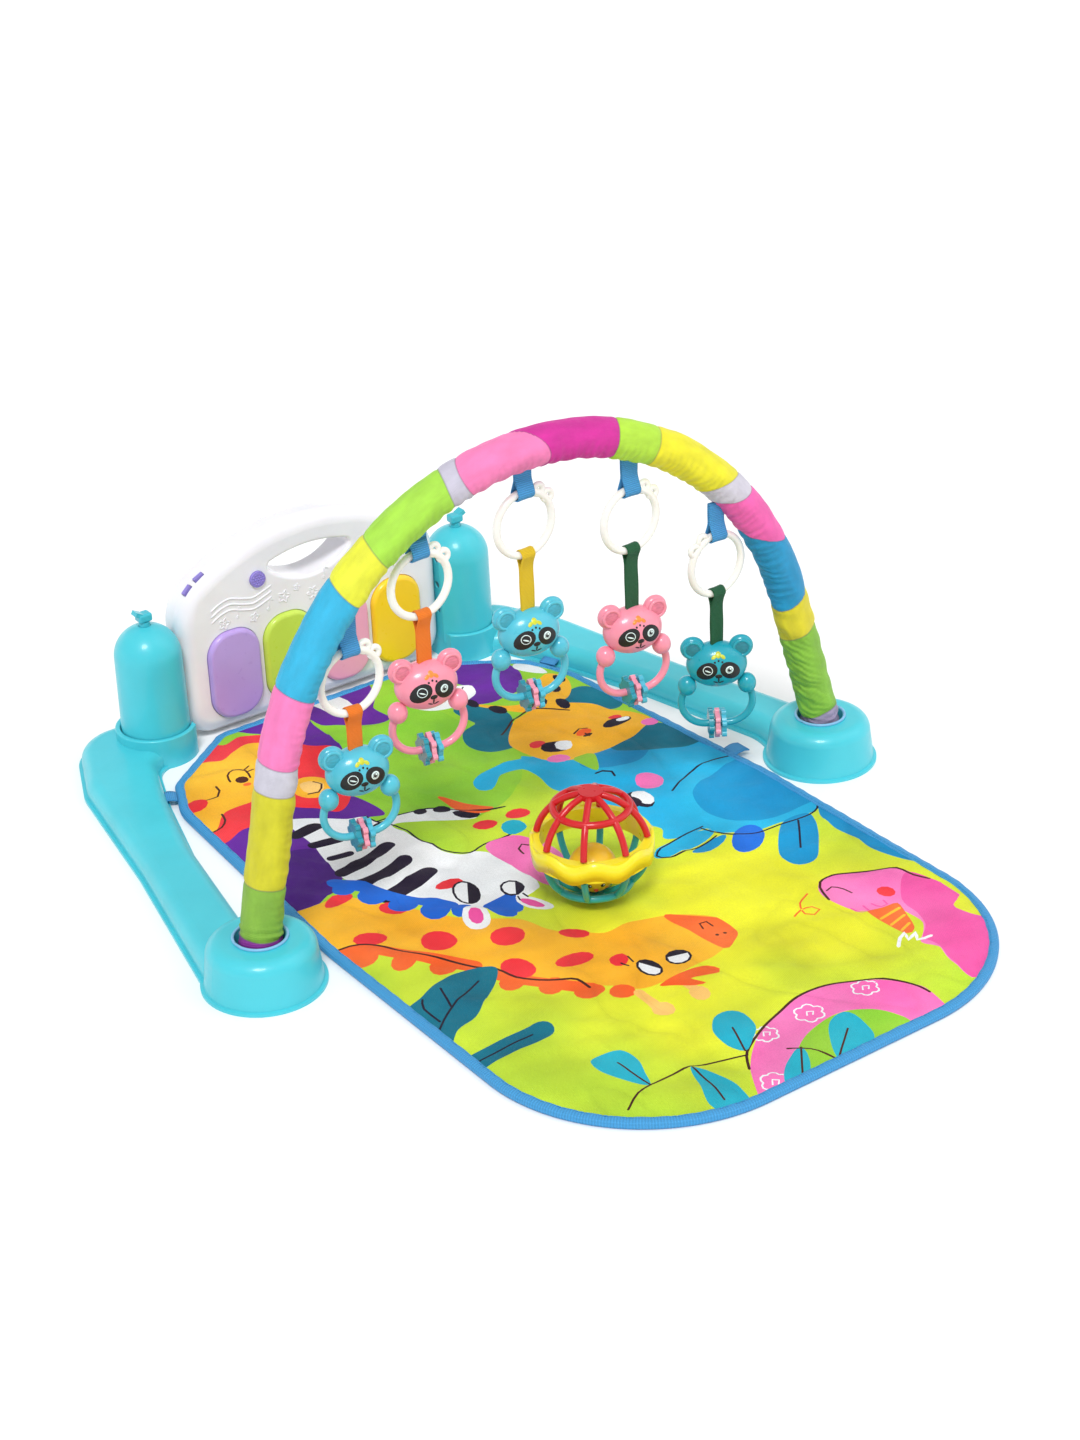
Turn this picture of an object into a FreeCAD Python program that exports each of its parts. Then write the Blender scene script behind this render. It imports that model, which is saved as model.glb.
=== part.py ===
"""Baby activity play gym: two floor arms, an arch with five hanging rattles, a kick piano, a mat and a ball.

Millimetres, +Z up, X across, -Y towards the open end of the mat, +Y towards the piano.
The origin lies on the floor, in the middle of the whole gym.
"""

import FreeCAD, Part
import math
import os
from FreeCAD import Rotation, Vector

doc = FreeCAD.newDocument("play_gym")

# ---------------------------------------------------------------- driving dimensions

DIMENSIONS = {
    "arch_y": -30.5,
    "foot_x": 285.0,
    "foot_top": 41.0,
    "foot_flange_radius": 50.0,
    "foot_post_radius": 24.5,
    "foot_rounding": 12.0,
    "flange_thickness": 3.0,
    "socket_radius": 11.4,
    "socket_floor": 9.0,
    "socket_mouth_radius": 20.0,
    "socket_mouth_floor": 29.0,
    "arm_height": 20.0,
    "arm_wall": 5.0,
    "arm_hollow": 10.0,
    "arm_rounding": 12.0,
    "tower_x": 166.0,
    "tower_dy": 386.0,
    "tower_radius": 31.0,
    "tower_top_radius": 30.0,
    "tower_shoulder": 98.0,
    "tower_top": 127.0,
    "tower_foot": 18.0,
    "tower_wall": 2.5,
    "tower_flat": 24.0,
    "cover_thickness": 4.0,
    "collar_radius": 36.5,
    "collar_top": 29.0,
    "lug_dy": 1.8,
    "lug_slot": 8.0,
    "latch_radius": 5.0,
    "arch_base": 38.0,
    "arch_lean": 4.0,
    "leg_lean": 14.0,
    "leg_bend": 60.0,
    "leg_stub": 28.0,
    "arch_radius": 262.0,
    "arch_split": 38.0,
    "spigot_turn": 5.0,
    "tube_radius": 11.0,
    "tube_bore": 9.4,
    "spigot_radius": 9.3,
    "spigot_bore": 7.8,
    "sleeve_radius": 17.3,
    "sleeve_bore": 11.6,
    "sleeve_end": -6.0,
    "webbing_width": 16.0,
    "webbing_thickness": 1.6,
    "webbing_fold": 4.7,
    "link_radius": 26.5,
    "link_bar": 3.2,
    "ribbon_width": 14.0,
    "head_width": 52.0,
    "head_height": 41.0,
    "head_depth": 34.0,
    "head_wall": 2.4,
    "ear_radius": 10.5,
    "ear_x": 20.5,
    "ear_rise": 15.5,
    "paw_radius": 8.0,
    "paw_x": 25.5,
    "paw_drop": 19.0,
    "handle_bar": 3.1,
    "handle_arc": 21.5,
    "handle_flat": 9.0,
    "handle_drop": 57.0,
    "disc_radius": 10.4,
    "disc_lobe": 2.8,
    "disc_thickness": 4.0,
    "disc_pitch": 5.4,
    "disc_clearance": 0.08,
    "mat_thickness": 7.0,
    "piano_dy": 395.0,
    "piano_half_width": 137.5,
    "piano_bottom": 3.0,
    "piano_foot": 28.0,
    "piano_shoulder": 112.0,
    "piano_corner": 50.0,
    "piano_crown": 210.0,
    "piano_top": 188.0,
    "piano_front_depth": 20.0,
    "piano_rear_depth": 15.0,
    "piano_wall": 3.0,
    "grip_half_length": 47.0,
    "grip_level": 152.0,
    "grip_rise": 9.0,
    "grip_drop": 22.0,
    "key_width": 53.0,
    "key_height": 86.0,
    "key_corner": 23.0,
    "key_pitch": 58.0,
    "key_centre": 58.5,
    "key_proud": 5.0,
    "key_gap": 0.6,
    "key_flange": 2.0,
    "button_radius": 7.5,
    "button_x": -56.0,
    "button_z": 142.5,
    "ball_x": -16.5,
    "ball_dy": -69.0,
    "ball_radius": 48.5,
    "ball_bar": 2.8,
    "chick_radius": 20.0,
}

# Per rattle: x across the arch, webbing drop below the sleeve, ribbon drop, turn about the vertical.
RATTLES = {
    1: {"across": -177.0, "webbing": 24.0, "ribbon": 31.0, "turn": -12.0},
    2: {"across": -107.0, "webbing": 15.0, "ribbon": 39.0, "turn": -12.0},
    3: {"across": -6.0, "webbing": 18.0, "ribbon": 47.0, "turn": -12.0},
    4: {"across": 97.0, "webbing": 24.0, "ribbon": 51.0, "turn": -12.0},
    5: {"across": 183.0, "webbing": 26.0, "ribbon": 46.0, "turn": -33.0},
}

for number, rattle in RATTLES.items():
    for key, value in rattle.items():
        DIMENSIONS[f"rattle{number}_{key}"] = value

sheet = doc.addObject("Spreadsheet::Sheet", "dims")
for row, (alias, value) in enumerate(DIMENSIONS.items(), start=1):
    sheet.set(f"A{row}", alias.replace("_", " "))
    sheet.set(f"B{row}", str(value))
    sheet.setAlias(f"B{row}", alias)
doc.recompute()


def dim(alias):
    """Value of a cell of the sheet."""
    return float(sheet.get(alias))


# ---------------------------------------------------------------- small building helpers

SUBPARTS = []
X_AXIS = Vector(1, 0, 0)
Y_AXIS = Vector(0, 1, 0)
Z_AXIS = Vector(0, 0, 1)
UPRIGHT = Rotation()
ALONG_X = Rotation(Y_AXIS, 90)
ALONG_Y = Rotation(X_AXIS, -90)


def keep(obj, label):
    """Name a finished sub-part and put it on the list that is written out."""
    obj.Label = label
    SUBPARTS.append(obj)
    return obj


def bind(obj, **expressions):
    """Bind properties to expressions over the sheet."""
    for prop, expression in expressions.items():
        obj.setExpression(prop, str(expression))
    return obj


def place(obj, base=(0, 0, 0), rotation=UPRIGHT):
    """Set a placement; each of base's three entries is a number or an expression."""
    numbers = [entry if isinstance(entry, (int, float)) else 0.0 for entry in base]
    obj.Placement = FreeCAD.Placement(Vector(*numbers), rotation)
    for axis, entry in zip("xyz", base):
        if isinstance(entry, str):
            obj.setExpression(f"Placement.Base.{axis}", entry)
    return obj


def cylinder(name, radius, height, base=(0, 0, 0), rotation=UPRIGHT):
    obj = bind(doc.addObject("Part::Cylinder", name), Radius=radius, Height=height)
    return place(obj, base, rotation)


def box(name, size, base=(0, 0, 0), rotation=UPRIGHT):
    obj = bind(doc.addObject("Part::Box", name), Length=size[0], Width=size[1], Height=size[2])
    return place(obj, base, rotation)


def torus(name, radius, bar, sweep=360, base=(0, 0, 0), rotation=UPRIGHT):
    obj = bind(doc.addObject("Part::Torus", name), Radius1=radius, Radius2=bar)
    obj.Angle3 = sweep
    return place(obj, base, rotation)


def ellipsoid(name, half_x, half_y, half_z, base=(0, 0, 0)):
    """Closed ellipsoid whose poles lie fore and aft, along Y."""
    obj = bind(doc.addObject("Part::Ellipsoid", name), Radius1=half_y, Radius2=half_x, Radius3=half_z)
    obj.Angle1 = -90
    return place(obj, base, ALONG_Y)


def cut(name, base, tool):
    obj = doc.addObject("Part::Cut", name)
    obj.Base = base
    obj.Tool = tool
    return obj


def fuse(name, pieces):
    obj = doc.addObject("Part::MultiFuse", name)
    obj.Shapes = pieces
    return obj


def common(name, pieces):
    obj = doc.addObject("Part::MultiCommon", name)
    obj.Shapes = pieces
    return obj


def group(name, pieces, base=(0, 0, 0), rotation=UPRIGHT):
    """Separate solids kept side by side in one sub-part, or one template set down at a place."""
    obj = doc.addObject("Part::Compound", name)
    obj.Links = pieces
    return place(obj, base, rotation)


def mirrored(name, source):
    obj = doc.addObject("Part::Mirroring", name)
    obj.Source = source
    obj.Normal = X_AXIS
    return obj


def new_body(name, base=(0, 0, 0), rotation=UPRIGHT):
    return place(doc.addObject("PartDesign::Body", name), base, rotation)


def new_sketch(body, name, role, edges):
    """Sketch of the given edges on one of the body's own origin planes."""
    sketch = body.newObject("Sketcher::SketchObject", name)
    planes = [feature for feature in body.Origin.OriginFeatures if feature.Role == role]
    sketch.AttachmentSupport = (planes[0], [""])
    sketch.MapMode = "FlatFace"
    sketch.addGeometry(edges, False)
    return sketch


def lift_sketch(sketch, expression):
    sketch.setExpression("AttachmentOffset.Base.z", str(expression))
    return sketch


def pad(body, name, sketch, length, reverse=False):
    feature = body.newObject("PartDesign::Pad", name)
    feature.Profile = sketch
    feature.Reversed = reverse
    return bind(feature, Length=length)


def pocket(body, name, sketch, length, reverse=False):
    """Pocket whose direction is proved by the volume that it takes away."""
    doc.recompute()
    before = body.Shape.Volume
    feature = body.newObject("PartDesign::Pocket", name)
    feature.Profile = sketch
    feature.Reversed = reverse
    bind(feature, Length=length)
    doc.recompute()
    if body.Shape.Volume > before - 1.0:
        raise RuntimeError(f"{name} takes nothing away")
    return feature


def round_rim(body, name, radius, on_rim):
    """Fillet every edge of the tip for which on_rim(bound box) is true."""
    doc.recompute()
    tip = body.Tip
    edges = [f"Edge{i}" for i, edge in enumerate(tip.Shape.Edges, start=1) if on_rim(edge.BoundBox)]
    feature = body.newObject("PartDesign::Fillet", name)
    feature.Base = (tip, edges)
    return bind(feature, Radius=radius)


def rounded_outline(corners):
    """Closed outline through (x, y, radius) corners, as line and arc edges."""
    starts = []
    ends = []
    middles = []
    count = len(corners)
    for index, (x, y, radius) in enumerate(corners):
        here = Vector(x, y, 0)
        before = Vector(*corners[index - 1][:2], 0) - here
        after = Vector(*corners[(index + 1) % count][:2], 0) - here
        before.normalize()
        after.normalize()
        half = before.getAngle(after) / 2
        reach = radius / math.tan(half)
        bisector = before + after
        bisector.normalize()
        starts.append(here + before * reach)
        ends.append(here + after * reach)
        middles.append(here + bisector * (radius / math.sin(half) - radius))
    edges = []
    for index in range(count):
        if corners[index][2] > 0:
            edges.append(Part.Arc(starts[index], middles[index], ends[index]))
        following = starts[(index + 1) % count]
        if ends[index].distanceToPoint(following) > 1e-6:
            edges.append(Part.LineSegment(ends[index], following))
    return edges


def grown(corners, by):
    """Corners of a counter-clockwise outline moved outwards by a distance."""
    count = len(corners)
    result = []
    for index, (x, y, radius) in enumerate(corners):
        here = Vector(x, y, 0)
        incoming = here - Vector(*corners[index - 1][:2], 0)
        outgoing = Vector(*corners[(index + 1) % count][:2], 0) - here
        incoming.normalize()
        outgoing.normalize()
        first = Vector(incoming.y, -incoming.x, 0)
        second = Vector(outgoing.y, -outgoing.x, 0)
        bisector = first + second
        bisector.normalize()
        moved = here + bisector * (by / bisector.dot(first))
        convex = incoming.x * outgoing.y - incoming.y * outgoing.x > 0
        result.append((moved.x, moved.y, max(radius + (by if convex else -by), 1.0)))
    return result


def rectangle(width, height, corner, centre=(0, 0)):
    """Corners of a rounded rectangle, counter-clockwise."""
    x, y = centre
    half_w = width / 2
    half_h = height / 2
    return [
        (x - half_w, y - half_h, corner),
        (x + half_w, y - half_h, corner),
        (x + half_w, y + half_h, corner),
        (x - half_w, y + half_h, corner),
    ]


# ---------------------------------------------------------------- floor arms

# Right arm from above, anticlockwise from the foot: (x, y, corner radius) about the foot's centre.
ARM_OUTLINE = [
    (38, -12, 16),
    (38, 30, 18),
    (1, 195, 160),
    (-26, 345, 60),
    (-60, 425.5, 44),
    (-143, 425.5, 24),
    (-143, 356, 16),
    (-98, 354, 30),
    (-72, 284, 40),
    (-46, 195, 120),
    (-20, 60, 50),
    (-34, -12, 16),
]


def drum_profile():
    """Half section of the foot drum: flange, conical wall, rounded rim and the lip round its socket."""
    top = dim("foot_top")
    flange = dim("foot_flange_radius")
    lift = dim("flange_thickness")
    rim = dim("foot_rounding")
    post = dim("foot_post_radius")
    roof = dim("arm_hollow")
    wall_foot = flange - lift
    wall_head = wall_foot - 3.0
    points = [
        (0, lift),
        (post, lift),
        (post, roof),
        (wall_foot - 6.0, roof),
        (wall_foot - 4.0, 0),
        (flange, 0),
        (flange, lift - 0.6),
        (wall_foot + 0.4, lift),
        (wall_head, top - rim),
    ]
    vectors = [Vector(x, y, 0) for x, y in points]
    edges = [Part.LineSegment(a, b) for a, b in zip(vectors, vectors[1:])]
    bevel = rim * (1 - math.cos(math.pi / 4))
    rim_middle = Vector(wall_head - bevel, top - bevel, 0)
    rim_end = Vector(wall_head - rim, top, 0)
    edges.append(Part.Arc(vectors[-1], rim_middle, rim_end))
    lip_radius = dim("socket_mouth_radius") + 2.2
    lip = [
        rim_end,
        Vector(lip_radius, top, 0),
        Vector(lip_radius, top + 1.4, 0),
        Vector(0, top + 1.4, 0),
        vectors[0],
    ]
    edges += [Part.LineSegment(a, b) for a, b in zip(lip, lip[1:])]
    return edges


def d_outline(radius, flat):
    """Round outline with a flat on its -X side."""
    rise = math.sqrt(radius**2 - flat**2)
    low = Vector(-flat, -rise, 0)
    high = Vector(-flat, rise, 0)
    return [Part.Arc(low, Vector(radius, 0, 0), high), Part.LineSegment(high, low)]


def shifted(edges, x, y):
    for edge in edges:
        edge.translate(Vector(x, y, 0))
    return edges


def build_arm():
    """Right arm: a domed hollow bar from the foot drum to the collar that holds the tower."""
    body = new_body("arm_moulding", ("dims.foot_x", "dims.arch_y", 0))
    height = dim("arm_height")
    outline = new_sketch(body, "arm_outline", "XY_Plane", rounded_outline(ARM_OUTLINE))
    pad(body, "arm_bar", outline, "dims.arm_height")
    round_rim(body, "arm_dome", "dims.arm_rounding", lambda bb: bb.ZMin > height - 0.01)
    hollow_edges = rounded_outline(grown(ARM_OUTLINE, -dim("arm_wall")))
    hollow = new_sketch(body, "arm_hollow_outline", "XY_Plane", hollow_edges)
    pocket(body, "arm_hollow", hollow, "dims.arm_hollow", reverse=True)
    edges = rounded_outline(grown(ARM_OUTLINE, dim("flange_thickness")))
    flange = new_sketch(body, "arm_flange_outline", "XY_Plane", edges)
    flange.addGeometry(rounded_outline(grown(ARM_OUTLINE, -dim("arm_wall"))), False)
    pad(body, "arm_flange", flange, "dims.flange_thickness")
    drum = new_sketch(body, "drum_section", "XZ_Plane", drum_profile())
    revolution = body.newObject("PartDesign::Revolution", "drum")
    revolution.Profile = drum
    revolution.ReferenceAxis = (drum, ["V_Axis"])
    revolution.Angle = 360
    shift = (dim("tower_x") - dim("foot_x"), dim("tower_dy"))
    flat = dim("tower_flat") + dim("cover_thickness")
    post = shifted(d_outline(dim("collar_radius"), flat - 0.3), *shift)
    pad(body, "collar_post", new_sketch(body, "collar_outline", "XY_Plane", post), "dims.collar_top")
    seat = shifted(d_outline(dim("tower_radius") + 0.8, flat + 0.4), *shift)
    seat_sketch = lift_sketch(new_sketch(body, "seat_outline", "XY_Plane", seat), "dims.collar_top")
    pocket(body, "tower_seat", seat_sketch, "dims.collar_top - dims.tower_foot")
    collar = dim("collar_top")
    round_rim(body, "collar_rim", 1.5, lambda bb: bb.ZMin > collar - 0.01 and bb.YMin > 250)
    lean = Rotation(X_AXIS, -dim("arch_lean"))

    def socket(name, radius, floor, length):
        """Bore along the leaning axis of the arch's leg, from a level upwards."""
        back = f"dims.arch_y - (dims.arch_base - {floor}) * tan(dims.arch_lean)"
        return cylinder(name, radius, length, ("dims.foot_x", back, floor), lean)

    bore = socket("socket_bore", "dims.socket_radius", "dims.socket_floor", 80)
    mouth = socket("socket_mouth", "dims.socket_mouth_radius", "dims.socket_mouth_floor", 60)
    bores = fuse("socket_bores", [bore, mouth])
    right = keep(cut("right_arm", body, bores), "base_arm_right")
    keep(mirrored("left_arm", right), "base_arm_left")


# ---------------------------------------------------------------- towers

def tower_section(inset, foot):
    """Half section of a tapered post with a domed top, drawn inside by an inset."""
    bottom = dim("tower_radius") - inset
    shoulder_r = dim("tower_top_radius") - inset
    shoulder = dim("tower_shoulder")
    top = dim("tower_top") - inset
    flat = Vector(0, foot, 0)
    side_foot = Vector(bottom, foot, 0)
    side_head = Vector(shoulder_r, shoulder, 0)
    apex = Vector(0, top, 0)
    diagonal = math.sin(math.pi / 4)
    middle = Vector(shoulder_r * diagonal, shoulder + (top - shoulder) * diagonal, 0)
    return [
        Part.LineSegment(flat, side_foot),
        Part.LineSegment(side_foot, side_head),
        Part.Arc(side_head, middle, apex),
        Part.LineSegment(apex, flat),
    ]


def post_solid(name, inset, foot):
    body = new_body(name, ("dims.tower_x", "dims.arch_y + dims.tower_dy", 0))
    sketch = new_sketch(body, name + "_section", "XZ_Plane", tower_section(inset, foot))
    turned = body.newObject("PartDesign::Revolution", name + "_turned")
    turned.Profile = sketch
    turned.ReferenceAxis = (sketch, ["V_Axis"])
    turned.Angle = 360
    return body


def build_tower():
    """Right tower: a D-shaped shell, its flat cover with three screws and a press latch on top."""
    foot = dim("tower_foot")
    outer = post_solid("post_outside", 0.0, foot)
    inner = post_solid("post_inside", dim("tower_wall"), foot - 1)
    x0 = "dims.tower_x"
    y0 = "dims.arch_y + dims.tower_dy"
    wall = cut("post_wall", outer, inner)
    keep_side = box("post_keep", (80, 90, 140), (x0 + " - dims.tower_flat", y0 + " - 45", 0))
    shell = common("post_shell", [wall, keep_side])
    latch_hole = cylinder("latch_hole", "dims.latch_radius + 0.4", 40, (x0, y0, "dims.tower_top - 30"))
    right_shell = keep(cut("right_tower_shell", shell, latch_hole), "tower_outer_right")
    keep(mirrored("left_tower_shell", right_shell), "tower_outer_left")

    slab = box("cover_slab", ("dims.cover_thickness", 90, 140),
               (x0 + " - dims.tower_flat - dims.cover_thickness", y0 + " - 45", 0))
    panel = common("cover_panel", [outer, slab])
    slot_at = (x0 + " - dims.tower_flat - 10", y0 + " + dims.lug_dy", 62)
    slot = box("cover_slot", (20, "dims.lug_slot", 100), slot_at)
    holes = [slot]
    screws = []
    for index, height in enumerate((50, 76, 102), start=1):
        face_x = x0 + " - dims.tower_flat - dims.cover_thickness"
        at = (face_x + " - 1", y0 + " - 6", height)
        holes.append(cylinder(f"cover_hole_{index}", 3.3, 20, at, ALONG_X))
        at = (face_x + " + 1", y0 + " - 6", height)
        head = cylinder(f"cover_screw_head_{index}", 3.2, 2, at, ALONG_X)
        at = (face_x + " + 2.5", y0 + " - 6", height)
        shank = cylinder(f"cover_screw_shank_{index}", 1.6, 9, at, ALONG_X)
        screws.append(fuse(f"cover_screw_{index}", [head, shank]))
    right_cover = keep(cut("right_cover", panel, fuse("cover_holes", holes)), "tower_cover_right")
    keep(mirrored("left_cover", right_cover), "tower_cover_left")
    right_screws = group("right_cover_screws", screws)
    keep(group("cover_screws", [right_screws, mirrored("left_cover_screws", right_screws)]), "tower_screws")

    stem = cylinder("latch_stem", "dims.latch_radius", 22, (x0, y0, "dims.tower_top - 18"))
    head = box("latch_head", (13, 11, 8), (x0 + " - 6.5", y0 + " - 5.5", "dims.tower_top + 4"))
    rounded = doc.addObject("Part::Fillet", "latch_head_rounded")
    doc.recompute()
    rounded.Base = head
    rounded.Edges = [(number, 2.2, 2.2) for number in range(1, 13)]
    hook = box("latch_hook", (7, 9, 4), (x0 + " + 3.5", y0 + " - 4.5", "dims.tower_top + 8.5"),
               Rotation(Y_AXIS, -28))
    right_latch = keep(fuse("right_latch", [stem, rounded, hook]), "tower_latch_right")
    keep(mirrored("left_latch", right_latch), "tower_latch_left")


# ---------------------------------------------------------------- arch

def arch_points():
    """Key points of the right half of the centreline in the arch's own leaning plane (x, height)."""
    lean = math.radians(dim("leg_lean"))
    bend = dim("leg_bend")
    crown = dim("arch_radius")
    foot = dim("foot_x")
    bend_start = Vector(foot, dim("sleeve_end") + 2, 0)
    bend_middle = bend_start + Vector(-bend * (1 - math.cos(lean / 2)), bend * math.sin(lean / 2), 0)
    bend_end = bend_start + Vector(-bend * (1 - math.cos(lean)), bend * math.sin(lean), 0)
    run = (bend_end.x - crown * math.cos(lean)) / math.sin(lean)
    shoulder = bend_end + Vector(-run * math.sin(lean), run * math.cos(lean), 0)
    centre = Vector(0, shoulder.y - crown * math.sin(lean), 0)
    return bend_start, bend_middle, bend_end, shoulder, centre


def on_crown(centre, radius, angle):
    """Point on the arch's crown at an angle from its top."""
    turn = math.radians(angle)
    return centre + Vector(radius * math.sin(turn), radius * math.cos(turn), 0)


def leg_edges(foot_height, top_angle):
    """Centreline of the right leg from a height in the socket up to an angle on the crown."""
    bend_start, bend_middle, bend_end, shoulder, centre = arch_points()
    crown = dim("arch_radius")
    lean = 90 - dim("leg_lean")
    foot = Vector(bend_start.x, foot_height, 0)
    middle = on_crown(centre, crown, (lean + top_angle) / 2)
    return [
        Part.LineSegment(foot, bend_start),
        Part.Arc(bend_start, bend_middle, bend_end),
        Part.LineSegment(bend_end, shoulder),
        Part.Arc(shoulder, middle, on_crown(centre, crown, top_angle)),
    ]


def sweep(name, edges, radius, direction=Y_AXIS):
    """Round bar along a run of edges, drawn flat; direction is the way that the run sets off."""
    spine = doc.addObject("Part::Feature", name + "_spine")
    spine.Shape = Part.Wire([edge.toShape() for edge in edges])
    ring = doc.addObject("Part::Circle", name + "_ring")
    bind(ring, Radius=radius)
    ring.Placement = FreeCAD.Placement(edges[0].StartPoint, Rotation(Z_AXIS, direction))
    doc.recompute()
    bar = doc.addObject("Part::Sweep", name)
    bar.Sections = [ring]
    bar.Spine = (spine, [f"Edge{i}" for i in range(1, len(edges) + 1)])
    bar.Solid = True
    bar.Frenet = False
    return bar


def into_arch_plane(obj):
    """Stand a shape that is drawn flat (x, height) up in the leaning plane of the arch."""
    upright = Rotation(X_AXIS, 90 - dim("arch_lean"))
    return place(obj, (0, "dims.arch_y", "dims.arch_base"), upright)


def other_way(edges):
    """The same run of edges seen in a mirror at x = 0 and walked from its far end."""
    result = []
    for edge in reversed(edges):
        flipped = edge.copy()
        flipped.mirror(Vector(0, 0, 0), Y_AXIS)
        if isinstance(flipped, Part.LineSegment):
            result.append(Part.LineSegment(flipped.EndPoint, flipped.StartPoint))
        else:
            middle = flipped.value((flipped.FirstParameter + flipped.LastParameter) / 2)
            result.append(Part.Arc(flipped.EndPoint, middle, flipped.StartPoint))
    return result


def build_arch():
    """Three tubes that plug together, and the padded sleeve over them."""
    split = dim("arch_split")
    centre = arch_points()[4]
    crown = dim("arch_radius")
    leg = leg_edges(-dim("leg_stub"), split)
    outer = sweep("leg_outside", leg, "dims.tube_radius")
    inner = sweep("leg_inside", leg, "dims.tube_bore")
    right = cut("right_leg", outer, inner)
    placed = [keep(group("right_leg_placed", [right]), "arch_tube_right")]
    placed.append(keep(group("left_leg_placed", [mirrored("left_leg", right)]), "arch_tube_left"))

    def crown_bar(name, radius, reach):
        first = on_crown(centre, crown, reach)
        edge = Part.Arc(first, on_crown(centre, crown, 0), on_crown(centre, crown, -reach))
        turn = math.radians(reach)
        return sweep(name, [edge], radius, Vector(-math.cos(turn), math.sin(turn), 0))

    plug = split + dim("spigot_turn")
    body = crown_bar("crown_outside", "dims.tube_radius", split)
    spigots = crown_bar("crown_spigots", "dims.spigot_radius", plug)
    bore = crown_bar("crown_bore", "dims.spigot_bore", plug)
    crown_tube = cut("crown_tube", fuse("crown_solid", [body, spigots]), bore)
    placed.append(keep(group("crown_placed", [crown_tube]), "arch_tube_middle"))

    half = leg_edges(dim("sleeve_end"), 0)
    run = half + other_way(half)
    padding = sweep("sleeve_outside", run, "dims.sleeve_radius")
    lining = sweep("sleeve_lining", run, "dims.sleeve_bore")
    placed.append(keep(group("sleeve_placed", [cut("sleeve", padding, lining)]), "arch_sleeve"))
    for obj in placed:
        into_arch_plane(obj)


# ---------------------------------------------------------------- hanging rattles

def hanging_points(number):
    """Heights of one rattle: sleeve underside, link's top bar, link centre, head centre, and its y."""
    across = dim(f"rattle{number}_across")
    crown = dim("arch_radius")
    centre = arch_points()[4]
    lean = math.radians(dim("arch_lean"))
    level = centre.y + math.sqrt(crown**2 - across**2)
    height = dim("arch_base") + level * math.cos(lean)
    back = dim("arch_y") + level * math.sin(lean)
    under = height - dim("sleeve_radius") / math.cos(math.asin(across / crown))
    bar = under - dim(f"rattle{number}_webbing")
    link = bar - dim("link_radius")
    head = link - dim("link_radius") - dim(f"rattle{number}_ribbon") - dim("head_height") / 2
    return {"x": across, "y": back, "under": under, "bar": bar, "link": link, "head": head}


def webbing_loop(name, reach, width, upwards):
    """Closed band in the YZ plane round a bar at the origin, with its two layers meeting at reach."""
    inside = dim("webbing_fold")
    skin = dim("webbing_thickness")
    outside = inside + skin
    sign = 1 if upwards else -1
    body = new_body(name)
    turn = [Part.Arc(Vector(-outside, 0, 0), Vector(0, -sign * outside, 0), Vector(outside, 0, 0))]
    turn += [
        Part.LineSegment(Vector(outside, 0, 0), Vector(skin, sign * (reach - 1), 0)),
        Part.LineSegment(Vector(skin, sign * (reach - 1), 0), Vector(skin, sign * reach, 0)),
        Part.LineSegment(Vector(skin, sign * reach, 0), Vector(-skin, sign * reach, 0)),
        Part.LineSegment(Vector(-skin, sign * reach, 0), Vector(-skin, sign * (reach - 1), 0)),
        Part.LineSegment(Vector(-skin, sign * (reach - 1), 0), Vector(-outside, 0, 0)),
    ]
    tip = sign * inside * 1.9
    gap = [
        Part.Arc(Vector(-inside, 0, 0), Vector(0, -sign * inside, 0), Vector(inside, 0, 0)),
        Part.LineSegment(Vector(inside, 0, 0), Vector(inside * 0.45, tip, 0)),
        Part.LineSegment(Vector(inside * 0.45, tip, 0), Vector(-inside * 0.45, tip, 0)),
        Part.LineSegment(Vector(-inside * 0.45, tip, 0), Vector(-inside, 0, 0)),
    ]
    sketch = new_sketch(body, name + "_section", "YZ_Plane", turn + gap)
    feature = pad(body, name + "_band", sketch, width)
    feature.Midplane = True
    return body


def build_link(name, snap_angles):
    """Open-and-shut plastic link ring with the two eyelets of its snap, centred on the origin."""
    ring = torus("link_ring", "dims.link_radius", "dims.link_bar", rotation=ALONG_Y)
    pieces = [ring]
    for index, angle in enumerate(snap_angles, start=1):
        turn = math.radians(angle)
        reach = dim("link_radius") + 2.5
        at = (reach * math.cos(turn), 0, reach * math.sin(turn))
        pieces.append(torus(f"link_eyelet_{index}", 4.2, 2.4, base=at, rotation=ALONG_Y))
    return fuse(name, pieces)


def build_head(front):
    """One half of a hollow rattle head, split at its middle plane, centred on the origin."""
    side = "front" if front else "back"
    wall = dim("head_wall")
    half = [dim("head_width") / 2, dim("head_depth") / 2, dim("head_height") / 2]
    skull = ellipsoid(f"{side}_skull", "dims.head_width / 2", "dims.head_depth / 2", "dims.head_height / 2")
    ears = []
    for side_x in (-1, 1):
        at = (side_x * dim("ear_x"), 0, "dims.ear_rise")
        ears.append(ellipsoid(f"{side}_ear", "dims.ear_radius", 6, "dims.ear_radius", at))
    solid = fuse(f"{side}_solid", [skull] + ears)
    hollow = ellipsoid(f"{side}_hollow", half[0] - wall, half[1] - wall, half[2] - wall)
    shell = cut(f"{side}_shell", solid, hollow)
    y0 = -40 if front else 0
    half_space = box(f"{side}_half", (120, 40, 120), (-60, y0, -60))
    return common(f"{side}_cap", [shell, half_space])


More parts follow.
